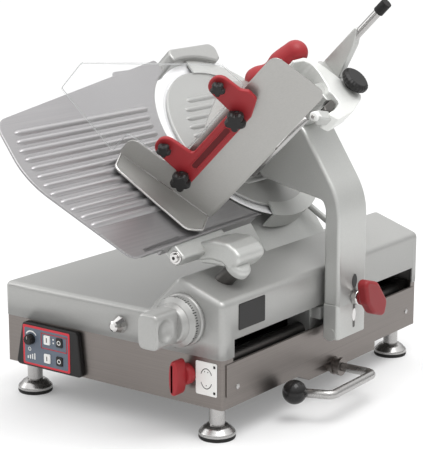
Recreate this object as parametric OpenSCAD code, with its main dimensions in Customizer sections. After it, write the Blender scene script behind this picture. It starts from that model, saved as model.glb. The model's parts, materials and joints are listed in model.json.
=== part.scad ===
// Automatic gravity-feed food slicer. Millimetres, Z up, front toward -Y.
// The origin lies on the bench, under the middle of the bounding box.

/* [Base] */
// Width of the base, left to right
base_w = 450; // [446:1:470]
// Depth of the base, front to back
base_d = 602; // [598:1:640]
// Height of the skirt's lower edge above the bench
skirt_z = 57; // [55:1:60]
// Height of the stainless skirt
skirt_h = 81; // [79:1:82]
// Height of the cover's flat deck above the skirt
deck_h = 58; // [54:1:60]
// Height of the ridge's apex above the deck
ridge_h = 62; // [58:1:64]
// Distance of the ridge's apex from the right side
apex_in = 85.5; // [82:0.5:88]
// Drop of the ridge from its apex to its right shoulder
shoulder_drop = 29; // [26:1:32]
// Sheet thickness of the skirt
skirt_t = 2.5; // [2:0.5:3]
// Wall of the cast cover
cover_t = 5; // [4:0.5:6]
// Overhang of the cover over the skirt
cover_lip = 2.5; // [2:0.5:3]
// Corner radius of the base in plan
corner_r = 8; // [6:1:12]
// Radius of the skirt's folded corners
skirt_r = 3; // [2.5:0.5:4]
// Height of the slot that the carriage runs in
slot_h = 28; // [27:1:30]

/* [Feet] */
// Diameter of a foot's rubber pad
foot_d = 59; // [50:1:64]
// Diameter of a foot's column
column_d = 26; // [22:1:28]
// Thickness of a foot's rubber pad
pad_h = 6; // [4:1:8]
// Height of a foot's domed flange
flange_h = 16; // [12:1:20]

/* [Knife] */
// Diameter of the knife
knife_d = 330; // [326:1:332]
// Diameter of the plate that covers the knife
knife_cover_d = 294; // [286:1:294]
// Knife centre, from the base's middle toward the right
knife_x = 34; // [32:1:36]
// Knife centre, from the base's middle toward the back
knife_y = 7; // [4:1:10]
// Height of the knife's centre
knife_z = 424; // [423:1:432]
// Diameter of the knife's shaft
shaft_d = 24; // [20:1:26]
// Diameter of the knife's pulley
knife_pulley_d = 80; // [70:1:82]
// Diameter of the motor's pulley
motor_pulley_d = 40; // [36:1:44]

/* [Gauge plate] */
// Thickest slice, the gauge plate's travel
slice_max = 15; // [5:1:15]
// Number of ribs on the gauge plate
rib_count = 12; // [6:1:12]
// Thickness of the gauge plate
gauge_t = 4; // [3:0.5:5]
// Gap between the gauge plate and the knife's edge
gauge_gap = 5; // [3:0.5:6]
// Diameter of the gauge plate's shaft
gauge_shaft_d = 28; // [24:1:30]

/* [Carriage] */
// Length of the tray's wall along the feed
wall_len = 302; // [290:1:310]
// Height of the tray's wall
wall_h = 98; // [92:1:100]
// Height of the wall's tall part beside the gauge plate
wall_tall_h = 178; // [170:1:180]
// Depth of the tray's floor from the wall to its back
floor_len = 245; // [225:1:248]
// Sheet thickness of the tray
sheet_t = 2.5; // [2:0.5:3]
// Width of the carriage arm, front to back
arm_w = 88; // [86:1:92]
// Diameter of the pusher's rail
rail_d = 14; // [12:1:15]
// Diameter of the pusher's grip
grip_d = 42; // [36:1:44]
// Thickness of the clear shield
shield_t = 5; // [4:0.5:6]
// Diameter of the main slide rod
rod_d = 28; // [24:1:30]
// Diameter of the second slide rod
rod2_d = 16; // [14:1:18]

/* [Controls] */
// Diameter of the thickness dial
dial_d = 80; // [72:1:82]
// Diameter of the ball on the lift lever
ball_d = 40; // [34:1:42]
// Diameter of the lift lever's rod
lever_d = 15; // [10:1:16]
// Width of a push button
button_w = 14; // [12:1:15]
// Height of a push button
button_h = 16; // [14:1:18]
// Travel of a push button
button_travel = 2; // [1:0.5:2]
// Diameter of the speed knob
speed_d = 18; // [16:1:20]

/* [Hidden] */
$fn = 64;

steel = [0.47, 0.44, 0.42];
satin = [0.68, 0.68, 0.67];
cast = [0.64, 0.65, 0.63];
dark = [0.25, 0.25, 0.25];
black = [0.13, 0.12, 0.12];
red = [0.59, 0.13, 0.15];
chrome = [0.8, 0.8, 0.82];

// Radial running fit of a shaft in its hole
fit = 0.05;
// Clear gap kept between pieces that move past each other
gap = 0.3;

// The feed axis rises to the right at this angle
feed_angle = 45;
ct = cos(feed_angle);
st = sin(feed_angle);
K = [knife_x, knife_y, knife_z];
knife_r = knife_d / 2;

xo = base_w / 2 + cover_lip;
yo = base_d / 2 + cover_lip;
top_z = skirt_z + skirt_h;
deck_z = top_z + deck_h;
apex_x = base_w / 2 - apex_in;
apex_z = deck_z + ridge_h;
slope = shoulder_drop / apex_in;
ridge_foot_x = apex_x - ridge_h / tan(feed_angle);
// Distance of the ridge's left face below the knife's centre, square to the feed
ridge_s = (apex_x - K[0]) * st - (apex_z - K[2]) * ct;
slot_y0 = -base_d / 2 + 28;
slot_y1 = base_d / 2 - 17;
plate_t = 4;
inner_r = max(0.5, skirt_r - skirt_t);
// Depth of the carriage slot below the cover
slot_drop = 8;
floor_z = skirt_z + plate_t;

// Belt plane and motor of the knife
belt_t0 = -91;
belt_w = 13;
belt_thick = 3;
motor_s = ridge_s + 43;
motor_d = 68;
motor_len = 100;
motor_shaft_d = 14;
bearing_d = 52;
bearing_w = 13;
support_t0 = -100;
support_t1 = -31;
support_r = 71;
cavity_r = knife_pulley_d / 2 + belt_thick + 2;

// Ground bevel of the knife and the room between it and the cover plate
bevel_w = 17;
bevel_r = knife_r - bevel_w;
hollow_z = -6;
edge_z = -0.2;
cover_room = 1.5;
function bevel_z(r) = hollow_z + max(0, r - bevel_r) * (edge_z - hollow_z) / bevel_w;

// Ring guard
guard_r0 = knife_r + 2;
guard_r1 = knife_r + 5;
// Height of the knife cover's face, on which the guard's lip sits
cover_top = 1.5;
guard_seat = knife_cover_d / 2 - 5;
guard_top = 4.5;
guard_back = -28;
guard_from = -20;
guard_sweep = 198;
stay_r = guard_r0 - 3.3;
stay_a = 26.88;
stay_s = 261;

// Gauge plate, corners as distance below the knife's centre and distance toward the back
gauge_bottom = 150;
gauge_edge = [[-118, -505], [-185, -62], [gauge_bottom, -62], [gauge_bottom, -75], [160, -425],
  [-10, -522]];
gauge_radii = [35, 6, 2, 2, 25, 120];
function gauge_low(y) = gauge_bottom + (-75 - y) * 10 / 350;
gauge_fold = 25;
// Distance of the gauge shaft behind the cover's front face
shaft_in = 70.5;
gauge_shaft_y = shaft_in - yo - K[1];
gauge_shaft_s = 229;
gauge_boss_t0 = slice_max - 9;

// Dial
dial_x = base_w / 2 - 73;
dial_z = deck_z - 3;
dial_boss = 8;
dial_ring_h = 20;
spindle_d = 16;
dial_y = -yo - dial_boss;

// Control panel
panel_t = 10;
panel_x = -base_w / 2 + 15;
panel_z = skirt_z + 1;
panel_w = 148;
panel_h = 76;
button_x = [panel_x + 84, panel_x + 111];
button_z = [panel_z + 53, panel_z + 21];
speed_x = panel_x + 48;
speed_z = panel_z + 49;
// Buttons stand 3 mm proud and keep a little room behind their travel
button_len = panel_t + 2.6 - button_travel;
stem_d = 6;
selector_x = base_w / 2 - 68;
selector_z = skirt_z + 49;
selector_spindle = 8;
cover_knob_x = 25;
cover_knob_z = top_z + 25;
cover_knob_stem = 10;

// Carriage
rod_x = base_w / 2 - 37;
rod_z = skirt_z + 61;
rod2_z = skirt_z + 23;
arm_y = -33;
arm_x0 = base_w / 2 + 11;
arm_x1 = arm_x0 + 30;
arm_z0 = skirt_z + 55;
pivot_x = arm_x0 + 14;
pivot_z = arm_z0 + 8;
pivot_d = 12;
neck_z0 = top_z + 4;
neck_z1 = top_z + slot_h - 4;
lug_y0 = arm_y + 23.5;
lug_w = 41;
lock_y = arm_y + 51;
lock_z = arm_z0 + 65;
lock_d = 10;
belt_x = rod_x - 44;
// Diameter of the carriage's motor, which clears the slider
drive_motor_d = 42;
drive_r = 12;
drive_y = base_d / 2 - 46;
drive_z = skirt_z + 37;

// Tray: the wall leans outward by this angle, the floor is square to it
lean = 32.1;
wall_y = -218;
wall_s = 133;
wall_t0 = 10;
wall_step = 37;
wall_r = 15;
fold_gap = 8;
head_t0 = 200;
head_h = 10;
// Depth of the head's rim below its plate
head_rim = 20;
rail_y = 48;
rail_s = 14;
rail_end = 352;
// Room in front of the rail for the pusher's bent arm
rail_room = 43;
cap_h = 22;
sleeve_t0 = 150;
sleeve_h = 40;
sleeve_d = rail_d + 7;
hub_d = sleeve_d + 12;
pusher_t0 = 115;
pusher_h = 6;
fence_z = 63;
fence_w = 29;
fence_y = -10;
fence_t = 8;
fence_top = fence_z + fence_w;
fence_knobs = [[53, 80], [199, 80]];
shield_knobs = [[79, 131], [223, 131]];
// Bar with two tabs, as points along the feed and up the wall
fence_edge = [[36, fence_z], [212, fence_z], [243, 75], [246, fence_top], [239, 103], [240, 146], [206, 146],
  [198, fence_top], [98, fence_top], [96, 146], [62, 146], [55, fence_top], [36, fence_top]];
fence_radii = [14, 10, 8, 6, 3, 16.5, 16.5, 5, 5, 16.5, 16.5, 4, 14];
stud_d = 8;
pin_d = 6;

// Lift lever
lever_y = 26;
lever_z = skirt_z - 10;
bar_x = base_w / 2 - 10;
bend1_x = base_w / 2 + 77;
bend2 = [base_w / 2 + 83, -115, lever_z + 2];
ball_c = [base_w / 2 + 27, -140, lever_z + 3];

gland_len = 24;

function unit(v) = v / norm(v);
function turn(a) = a > 180 ? a - 360 : a < -180 ? a + 360 : a;
// Points of an arc that rounds the corner b between a and c
function corner(a, b, c, r, n) =
  let (u = unit(a - b), v = unit(c - b), h = acos(u * v) / 2, m = b + unit(u + v) * r / sin(h),
    p = b + u * r / tan(h) - m, q = b + v * r / tan(h) - m, s = atan2(p[1], p[0]),
    w = turn(atan2(q[1], q[0]) - s))
  [for (i = [0:n]) m + r * [cos(s + w * i / n), sin(s + w * i / n)]];
// Outline with rounded corners, one radius for each point
function rounded(pts, radii, n = 8) =
  let (k = len(pts))
  [for (i = [0:k - 1]) each corner(pts[(i + k - 1) % k], pts[i], pts[(i + 1) % k], radii[i], n)];
function same(r, n) = [for (i = [1:n]) r];
// Place in the XZ plane of a point along and square to the feed
function xz(t, s) = [K[0] + t * ct + s * st, K[2] + t * st - s * ct];

gauge_outline = rounded(gauge_edge, gauge_radii);
fence_outline = rounded(fence_edge, fence_radii);
// Sideways reach of the wall's lower right corner, and the shift that centres the bounding box
wall_end = wall_t0 + wall_len;
across_wall = st * cos(lean);
wall_reach = K[0] + wall_end * ct + (wall_s + sheet_t * sin(lean)) * st
  - wall_r * (ct + across_wall - norm([ct, across_wall]));
front_reach = K[1] + min([for (p = gauge_outline) p[1]]);
origin = [(wall_reach - xo) / 2, (front_reach + base_d / 2 + gland_len) / 2, 0];

module place() { translate(-origin) children(); }
// Frame at the knife's centre: x along the feed, y to the back, z up the plate
module feed() { translate(K) rotate([0, -feed_angle, 0]) children(); }
// Cylinder axis along the feed; plane coordinates are (down the plate, to the back)
module along(t, y, s) { feed() translate([t, y, -s]) rotate([0, 90, 0]) children(); }
// Frame at the wall's lower edge: x along the feed, y along the floor, z up the wall
module tray() { feed() translate([0, wall_y, -wall_s]) rotate([lean, 0, 0]) children(); }
// Axis toward the front
module front(x, y, z) { translate([x, y, z]) rotate([90, 0, 0]) children(); }
// Axis toward the right
module right(x, y, z) { translate([x, y, z]) rotate([0, 90, 0]) children(); }
// An XZ outline drawn out from y0 toward the back
module across(y0, len) { translate([0, y0 + len, 0]) rotate([90, 0, 0]) linear_extrude(len) children(); }

module rrect(w, d, r) {
  square([w - 2 * r, d], center = true);
  square([w, d - 2 * r], center = true);
  for (x = [-1, 1], y = [-1, 1]) translate([x * (w / 2 - r), y * (d / 2 - r)]) circle(r);
}

module cover_profile(t) {
  v = t / ct;
  w = t * sqrt(1 + slope * slope);
  dx = (v - w) / (tan(feed_angle) + slope);
  x = xo - t;
  z0 = t > 0 ? top_z - 1 : top_z;
  polygon([[-x, z0], [x, z0], [x, apex_z - slope * (x - apex_x) - w],
    [apex_x + dx, apex_z - slope * dx - w], [ridge_foot_x + v - t, deck_z - t], [-x, deck_z - t]]);
}

module cover_body(t) {
  intersection() {
    across(-yo + t, 2 * (yo - t)) cover_profile(t);
    translate([0, 0, top_z - 2]) linear_extrude(apex_z) rrect(2 * (xo - t), 2 * (yo - t), corner_r - t / 2);
  }
}

module base_skirt() color(steel) place() difference() {
  translate([0, 0, skirt_z]) linear_extrude(skirt_h) rrect(base_w, base_d, skirt_r);
  translate([0, 0, skirt_z - 1]) linear_extrude(skirt_h + 2)
    rrect(base_w - 2 * skirt_t, base_d - 2 * skirt_t, inner_r);
  front(selector_x, -base_d / 2 + skirt_t + 1, selector_z)
    cylinder(d = selector_spindle + 2 * fit, h = skirt_t + 2);
  front(speed_x, -base_d / 2 + skirt_t + 1, speed_z) cylinder(d = stem_d + 2 * fit, h = skirt_t + 2);
  translate([base_w / 2 - skirt_t - 1, slot_y0, top_z - slot_drop])
    cube([skirt_t + 2, slot_y1 - slot_y0, slot_drop + 1]);
}

module bottom_plate() color(dark) place() {
  post_t = 14;
  translate([0, 0, skirt_z]) linear_extrude(plate_t)
    rrect(base_w - 2 * skirt_t, base_d - 2 * skirt_t, inner_r);
  difference() {
    for (s = [-1, 1])
      translate([rod_x - 22, s * (base_d / 2 - skirt_t - post_t / 2) - post_t / 2, floor_z - 1])
        cube([44, post_t, rod_z + 22 - floor_z]);
    rods(rod_d, rod2_d);
  }
  translate([belt_x, -drive_y, floor_z - 1]) cylinder(r = drive_r, h = drive_z + 12 - floor_z);
}

module rods(d1, d2) {
  front(rod_x, base_d / 2 - skirt_t, rod_z) cylinder(d = d1, h = base_d - 2 * skirt_t);
  front(rod_x, base_d / 2 - skirt_t, rod2_z) cylinder(d = d2, h = base_d - 2 * skirt_t);
}

module slide_rods() color(chrome) place() rods(rod_d, rod2_d);

module top_cover() color(satin) place() difference() {
  union() {
    difference() {
      cover_body(0);
      cover_body(cover_t);
    }
    intersection() {
      along(-84, gauge_shaft_y, gauge_shaft_s) cylinder(d = gauge_shaft_d + 18, h = 90);
      cover_body(0);
    }
    front(dial_x, -yo + 1, dial_z) cylinder(d = dial_d + 4, h = dial_boss + 1);
    front(dial_x, -yo + 22, dial_z) cylinder(d = spindle_d + 16, h = 20);
    front(cover_knob_x, -yo + 18, cover_knob_z) cylinder(d = cover_knob_stem + 10, h = 16);
  }
  translate([xo - cover_t - 1, slot_y0, top_z - 1]) cube([cover_t + 2, slot_y1 - slot_y0, slot_h + 1]);
  along(-90, gauge_shaft_y, gauge_shaft_s) cylinder(d = gauge_shaft_d + 2 * fit, h = 110);
  front(dial_x, -yo + 30, dial_z) cylinder(d = spindle_d + 2 * fit, h = 60);
  front(cover_knob_x, -yo + 30, cover_knob_z) cylinder(d = cover_knob_stem + 2 * fit, h = 60);
  feed() translate([belt_t0 - 4, -cavity_r, -ridge_s - 20]) cube([belt_w + 8, 2 * cavity_r, 21]);
}

module side_panel() color(steel) place()
  translate([base_w / 2, -base_d / 2 + 9, skirt_z + 20]) cube([1.5, base_d - 18, skirt_h - slot_drop - 21]);

module panel_screws() color(chrome) place()
  for (y = [-base_d / 2 + 38, base_d / 2 - 35]) right(base_w / 2 + 1.5, y, skirt_z + 31) {
    cylinder(d = 9, h = 0.8);
    translate([0, 0, 0.8]) cylinder(d1 = 9, d2 = 6, h = 1);
  }

module feet(z) for (x = [-1, 1], y = [-1, 1])
  translate([x * (base_w / 2 - 32), y * (base_d / 2 - 30), z]) children();

module foot_columns() color(chrome) place() feet(pad_h + flange_h)
  cylinder(d = column_d, h = skirt_z - pad_h - flange_h);

module foot_flanges() color(chrome) place() feet(pad_h) {
  cylinder(d = foot_d, h = 4);
  translate([0, 0, 4]) cylinder(d1 = foot_d, d2 = column_d + 6, h = flange_h - 7);
  translate([0, 0, flange_h - 3]) cylinder(d = column_d + 6, h = 3);
}

module foot_pads() color(black) place() feet(0) {
  cylinder(d1 = foot_d - 2, d2 = foot_d, h = 2);
  translate([0, 0, 2]) cylinder(d = foot_d, h = pad_h - 2);
}

module control_panel() color(red) place() difference() {
  across(-base_d / 2 - panel_t, panel_t) polygon(rounded([[panel_x + 10, panel_z],
    [panel_x + panel_w + 10, panel_z], [panel_x + panel_w + 2, panel_z + panel_h],
    [panel_x + 26, panel_z + panel_h]], same(7, 4)));
  for (x = button_x, z = button_z)
    translate([x - button_w / 2 - gap, -base_d / 2 - panel_t - 1, z - button_h / 2 - gap])
      cube([button_w + 2 * gap, panel_t + 2, button_h + 2 * gap]);
  front(speed_x, -base_d / 2 + 1, speed_z) cylinder(d = stem_d + 2 * fit, h = panel_t + 2);
}

module button(i, j) place()
  translate([button_x[i], -base_d / 2 - panel_t - 3, button_z[j]]) rotate([-90, 0, 0])
    linear_extrude(button_len) rrect(button_w, button_h, 2);

module knife_start() color([0.9, 0.9, 0.9]) button(0, 0);
module knife_stop() color(black) button(1, 0);
module carriage_start() color([0.9, 0.9, 0.9]) button(0, 1);
module carriage_stop() color(black) button(1, 1);

module speed_knob() color(black) place() {
  front(speed_x, -base_d / 2 - panel_t - gap, speed_z) {
    cylinder(d = speed_d, h = 8);
    translate([0, 0, 8]) cylinder(d1 = speed_d, d2 = speed_d - 3, h = 4);
  }
  front(speed_x, -base_d / 2 + 12, speed_z) cylinder(d = stem_d, h = panel_t + 14);
}

module cover_knob() color(chrome) place() {
  front(cover_knob_x, -yo - gap, cover_knob_z) {
    cylinder(d1 = 30, d2 = 17, h = 18);
    translate([0, 0, 18]) cylinder(d1 = 17, d2 = 11, h = 2);
  }
  front(cover_knob_x, -yo + 24, cover_knob_z) cylinder(d = cover_knob_stem, h = 26);
}

module mode_selector() color(red) place() {
  front(selector_x, -base_d / 2 - gap, selector_z) {
    cylinder(d1 = 34, d2 = 30, h = 12);
    translate([0, 0, 10]) linear_extrude(30) rrect(13, 56, 6);
  }
  front(selector_x, -base_d / 2 + 14, selector_z) cylinder(d = selector_spindle, h = 16);
}

module dial_ring() color(satin) place() difference() {
  front(dial_x, dial_y - gap, dial_z) {
    cylinder(d = dial_d, h = dial_ring_h - 6);
    translate([0, 0, dial_ring_h - 6]) cylinder(d1 = dial_d, d2 = dial_d - 12, h = 6);
  }
  front(dial_x, dial_y + 1, dial_z) cylinder(d = spindle_d, h = dial_ring_h + 2);
}

module dial_grip() color(satin) place() front(dial_x, dial_y - gap - dial_ring_h, dial_z) difference() {
  union() {
    cylinder(d1 = dial_d - 14, d2 = dial_d - 22, h = 12);
    linear_extrude(63) rrect(38, 56, 12);
  }
  for (s = [-1, 1]) translate([s * 34, 0, 40]) scale(1.6) sphere(d = 30);
}

module dial_spindle() color(chrome) place() {
  len = dial_ring_h + gap + dial_boss + 40;
  front(dial_x, dial_y - gap - dial_ring_h + len, dial_z) cylinder(d = spindle_d, h = len);
  front(dial_x, dial_y - gap - dial_ring_h + len, dial_z) cylinder(d = 60, h = 8);
}

module knife_support() color(cast) place() difference() {
  union() {
    across(K[1] - support_r - 7, 2 * support_r + 40) polygon([xz(support_t1, 0),
      xz(support_t1, knife_r - 15), [apex_x + 8, apex_z - slope * 8], [apex_x, apex_z],
      xz(support_t0, ridge_s), xz(support_t0, 0)]);
    along(support_t0, 0, 0) cylinder(r = support_r, h = support_t1 - support_t0);
  }
  along(belt_t0 - 4, 0, 0) cylinder(r = cavity_r, h = belt_w + 8);
  feed() translate([belt_t0 - 4, -cavity_r, -ridge_s - 1]) cube([belt_w + 8, 2 * cavity_r, ridge_s + 1]);
  along(belt_t0 + belt_w + 1, 0, 0) cylinder(d = bearing_d, h = 80);
}

module knife_bearings() color(chrome) place()
  for (t = [belt_t0 + belt_w + 5, support_t1 - 2 - bearing_w]) along(t, 0, 0) difference() {
    cylinder(d = bearing_d, h = bearing_w);
    translate([0, 0, -1]) cylinder(d = shaft_d + 2 * fit, h = bearing_w + 2);
  }

module knife() color(chrome) place() along(0, 0, 0) rotate_extrude($fn = 128) polygon([[shaft_d / 2, -13],
  [46, -13], [52, -9], [bevel_r + 1, -9], [knife_r, edge_z - 0.6], [knife_r, edge_z], [bevel_r, hollow_z],
  [shaft_d / 2, hollow_z]]);

module knife_shaft() color(steel) place() {
  along(belt_t0 - 2, 0, 0) cylinder(d = shaft_d, h = -belt_t0 - 4);
  along(-22, 0, 0) difference() {
    cylinder(d = 70, h = 9);
    translate([0, 0, -1]) cylinder(d = shaft_d - 1, h = 11);
  }
}

// A belt's outline round two pulleys, the second one at a distance d along x
module belt_ring(r1, r2, d) {
  a = acos((r1 - r2) / d);
  polygon(concat([for (i = [0:32]) r1 * [cos(a + (360 - 2 * a) * i / 32), sin(a + (360 - 2 * a) * i / 32)]],
    [for (i = [0:24]) [d, 0] + r2 * [cos(-a + 2 * a * i / 24), sin(-a + 2 * a * i / 24)]]));
}

module knife_pulley() color(dark) place() along(belt_t0, 0, 0) difference() {
  cylinder(d = knife_pulley_d, h = belt_w);
  translate([0, 0, -1]) cylinder(d = shaft_d, h = belt_w + 2);
}

module motor_pulley() color(dark) place() {
  along(belt_t0, 0, motor_s) cylinder(d = motor_pulley_d, h = belt_w);
  along(belt_t0 - 34, 0, motor_s) cylinder(d = motor_shaft_d, h = 36);
}

module drive_belt() color(black) place() along(belt_t0 + 1, 0, 0) linear_extrude(belt_w - 2) difference() {
  belt_ring(knife_pulley_d / 2 + gap + belt_thick, motor_pulley_d / 2 + gap + belt_thick, motor_s);
  belt_ring(knife_pulley_d / 2 + gap, motor_pulley_d / 2 + gap, motor_s);
}

module knife_motor() color(dark) place() {
  t1 = belt_t0 - 13;
  m = xz(t1 - motor_len / 2, motor_s);
  difference() {
    union() {
      along(t1 - motor_len, 0, motor_s) cylinder(d = motor_d, h = motor_len);
      translate([m[0] - 25, K[1] - 25, floor_z]) cube([50, 50, m[1] - floor_z]);
    }
    along(t1 - 24, 0, motor_s) cylinder(d = motor_shaft_d + 2 * fit, h = 60);
  }
}

module ring_guard() color(cast) place() {
  along(0, 0, 0) rotate([0, 0, guard_from]) rotate_extrude(angle = guard_sweep, $fn = 128)
    polygon([[guard_r0, guard_back], [guard_r1, guard_back], [guard_r1, guard_top],
      [guard_seat, guard_top], [guard_seat, cover_top], [guard_r0, cover_top]]);
  difference() {
    feed() translate([-16, stay_r * sin(stay_a), -stay_r * cos(stay_a)]) rotate([204, 0, 0])
      cylinder(d = 11, h = (stay_s - stay_r * cos(stay_a)) / cos(24));
    along(-60, 0, 0) cylinder(r = guard_r0 + 1, h = 100);
    cover_body(0);
    translate([-500, -500, -1]) cube([1000, 1000, top_z + 2]);
  }
}

module knife_cover() color(satin) place() along(0, 0, 0) rotate_extrude($fn = 128) {
  r = knife_cover_d / 2;
  under = hollow_z + cover_room;
  polygon([[0, under], [min(r - 2, bevel_r - 3), under], [r, max(under, bevel_z(r)) + cover_room],
    [r, cover_top], [0, cover_top]]);
}

module sharpener_housing() color(satin) place() difference() {
  along(-40, 0, 0) linear_extrude(55) polygon(rounded([[45 - knife_r, -38], [-27 - knife_r, -38],
    [-28 - knife_r, 101], [25 - knife_r, 101], [25 - knife_r, 80]], [3, 14, 20, 10, 3]));
  along(-60, 0, 0) cylinder(r = guard_r1 + 0.2, h = 100, $fn = 128);
}

module slice_deflector() color(steel) place()
  feed() translate([support_t1 - 5, -150, -128]) cube([2, 150 - support_r - 7, 150]);

module gauge_plate() color(satin) place() {
  pitch = 180 / 11;
  along(-gauge_t, 0, 0) linear_extrude(gauge_t) difference() {
    polygon(gauge_outline);
    circle(knife_r + gauge_gap, $fn = 128);
  }
  along(-1, 0, 0) linear_extrude(2.2) intersection() {
    difference() {
      polygon(gauge_outline);
      circle(knife_r + gauge_gap + 4, $fn = 128);
    }
    for (i = [0:rib_count - 1]) translate([-91 + i * pitch - 3, -510]) square([6, 505]);
  }
  along(-gauge_t - gauge_fold, 0, 0) linear_extrude(gauge_fold + 1)
    polygon([[gauge_low(-85) - 4, -85], [gauge_low(-85), -85], [gauge_low(-395), -395],
      [gauge_low(-395) - 4, -395]]);
}

module gauge_arm() color(cast) place() {
  y0 = gauge_shaft_y - 80;
  y1 = gauge_shaft_y + 50;
  s1 = 182;
  b = gauge_boss_t0;
  along(-gauge_t - gauge_fold, 0, 0) linear_extrude(gauge_fold)
    polygon([[gauge_low(y0), y0], [s1, y0], [s1, y1], [gauge_low(y1), y1]]);
  feed() translate([0, y1, 0]) rotate([90, 0, 0]) linear_extrude(72)
    polygon([[-28, -165], [-6, -165], [b + 12, -178], [b + 30, -198], [b + 34, -212],
      [b + 34, -gauge_shaft_s], [b, -gauge_shaft_s], [b, -212], [-8, -194], [-28, -s1]]);
  along(b, gauge_shaft_y, gauge_shaft_s) cylinder(d = 44, h = 16);
  feed() translate([-15, y0 + 1, -173]) rotate([90, 0, 0]) cylinder(d = 15, h = 7);
}

module gauge_shaft() color(dark) place()
  along(-112, gauge_shaft_y, gauge_shaft_s) cylinder(d = gauge_shaft_d, h = 112 + gauge_boss_t0);

module lift_bracket() color(steel) place() difference() {
  union() {
    across_bar = [[-72, 0], [176, 0], [176, -21], [-40, -21], [-72, -6]];
    translate([bar_x - 20, 0, skirt_z]) rotate([90, 0, 90]) linear_extrude(20) polygon(across_bar);
    right(bar_x - 20, lever_y, lever_z) cylinder(d = lever_d + 10, h = 42);
    for (x = [bar_x + 8, bar_x + 20]) right(x, lever_y, lever_z) cylinder(d = lever_d + 16, h = 5);
  }
  right(bar_x - 30, lever_y, lever_z) cylinder(d = lever_d + 2 * fit, h = 100);
  translate([bar_x - 40, lever_y - 50, skirt_z]) cube([base_w / 2 - bar_x + 40, 100, 40]);
}

module bar(a, b, d) {
  v = b - a;
  translate(a) rotate([0, acos(v[2] / norm(v)), atan2(v[1], v[0])]) cylinder(d = d, h = norm(v));
}

module lift_lever() color(chrome) place() {
  a = [bar_x - 26, lever_y, lever_z];
  b = [bend1_x, lever_y, lever_z];
  bar(a, b, lever_d);
  translate(b) sphere(d = lever_d + 0.6);
  bar(b, bend2, lever_d);
  translate(bend2) sphere(d = lever_d + 0.6);
  bar(bend2, ball_c, lever_d);
}

module lift_ball() color(black) place() difference() {
  translate(ball_c) sphere(d = ball_d);
  bar(bend2, ball_c, lever_d);
}

module carriage_motor() color(dark) place() translate([belt_x, drive_y, floor_z]) difference() {
  cylinder(d = drive_motor_d, h = drive_z - floor_z - 3);
  translate([0, 0, 6]) cylinder(d = 10 + 2 * fit, h = 60);
}

module drive_pulley() color(dark) place() translate([belt_x, drive_y, floor_z]) {
  translate([0, 0, drive_z - floor_z]) cylinder(r = drive_r, h = 12);
  translate([0, 0, 8]) cylinder(d = 10, h = drive_z - floor_z);
}

module carriage_belt() color(black) place() translate([belt_x, drive_y, drive_z + 1]) rotate([0, 0, -90])
  linear_extrude(10) difference() {
    belt_ring(drive_r + gap + 2, drive_r + gap + 2, 2 * drive_y);
    belt_ring(drive_r + gap, drive_r + gap, 2 * drive_y);
  }

module cord_gland() color(black) place() front(-base_w / 2 + 90, base_d / 2 + gland_len, skirt_z + 36) {
  cylinder(d1 = 14, d2 = 20, h = gland_len - 10);
  translate([0, 0, gland_len - 10]) cylinder(d = 26, h = 10);
}

module carriage_slider() color(cast) place() {
  difference() {
    union() {
      translate([rod_x - 22, arm_y, floor_z + 5]) cube([44, arm_w, neck_z1 - floor_z - 5]);
      translate([rod_x + 10, arm_y + 4, neck_z0])
        cube([arm_x0 - 7 - rod_x - 10, arm_w - 8, neck_z1 - neck_z0]);
      translate([belt_x + drive_r + 3, arm_y + 30, drive_z - 2]) cube([14, 24, 18]);
    }
    rods(rod_d + 2 * fit, rod2_d + 2 * fit);
  }
  across(lug_y0, lug_w) {
    polygon([[arm_x0 - 8, neck_z0], [pivot_x - 9, pivot_z - 3], [pivot_x + 9, pivot_z + 4],
      [pivot_x - 4, neck_z1 - 6], [pivot_x - 8, neck_z1], [arm_x0 - 8, neck_z1]]);
    translate([pivot_x, pivot_z]) circle(10);
  }
  front(pivot_x, arm_y + arm_w, pivot_z) cylinder(d = pivot_d, h = arm_w);
}

module carriage_arm() color(cast) place() difference() {
  top = -60;
  under = 93;
  t0 = 16;
  t1 = 137;
  wall = 8;
  roof = rail_s + hub_d / 2 + 14;
  knee = arm_z0 + 234;
  across(arm_y, arm_w) polygon(rounded([[arm_x0, arm_z0], [arm_x1, arm_z0], [arm_x1, knee],
    xz(t1, under), xz(t1, top), xz(t0, top), xz(t0, under), [arm_x0 - 5, arm_z0 + 232],
    [arm_x0, arm_z0 + 218]], [6, 6, 120, 60, 2, 2, 10, 8, 8]));
  across(arm_y + 6, arm_w - 12) polygon(rounded([[arm_x0 + 9, arm_z0 + 215],
    [arm_x1 - wall, arm_z0 + 215], [arm_x1 - wall, knee - 2], xz(t1 - wall, under), xz(t1 - wall, roof),
    xz(t0 - 20, roof), xz(t0 - 20, under + 40), [arm_x0 - 20, arm_z0 + 225]],
    [3, 3, 40, 40, 4, 2, 2, 6]));
  tray() translate([-100, -200, -sheet_t]) cube([500, 700, 400]);
  feed() translate([-50, rail_y - rail_room, -rail_s - hub_d / 2 - 5]) cube([300, 100, 200]);
  translate([arm_x0 - 10, lug_y0 - 0.5, arm_z0 - 10]) cube([36, lug_w + 1, 64]);
  front(pivot_x, arm_y + arm_w + 1, pivot_z) cylinder(d = pivot_d + 2 * fit, h = arm_w + 2);
  right(arm_x0 - 10, lock_y, lock_z) cylinder(d = lock_d + 2 * fit, h = 60);
}

module tray_wall() color(satin) place() tray() {
  a = wall_t0;
  b = wall_t0 + wall_step;
  rotate([90, 0, 0]) linear_extrude(sheet_t) polygon(rounded([[a, 0], [wall_end, 0], [wall_end, wall_h],
    [b, wall_h], [b, wall_tall_h], [a, wall_tall_h]], [1, wall_r, wall_r, 26, 14, 8], 12));
  translate([fold_gap, 0, 0]) rotate([90, 0, 90]) linear_extrude(sheet_t) polygon(rounded([[0, 3],
    [0, wall_tall_h - 4], [-41, wall_tall_h - 4], [-65, 29], [-42, 3]], [1, 1, 12, 22, 10]));
}

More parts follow.
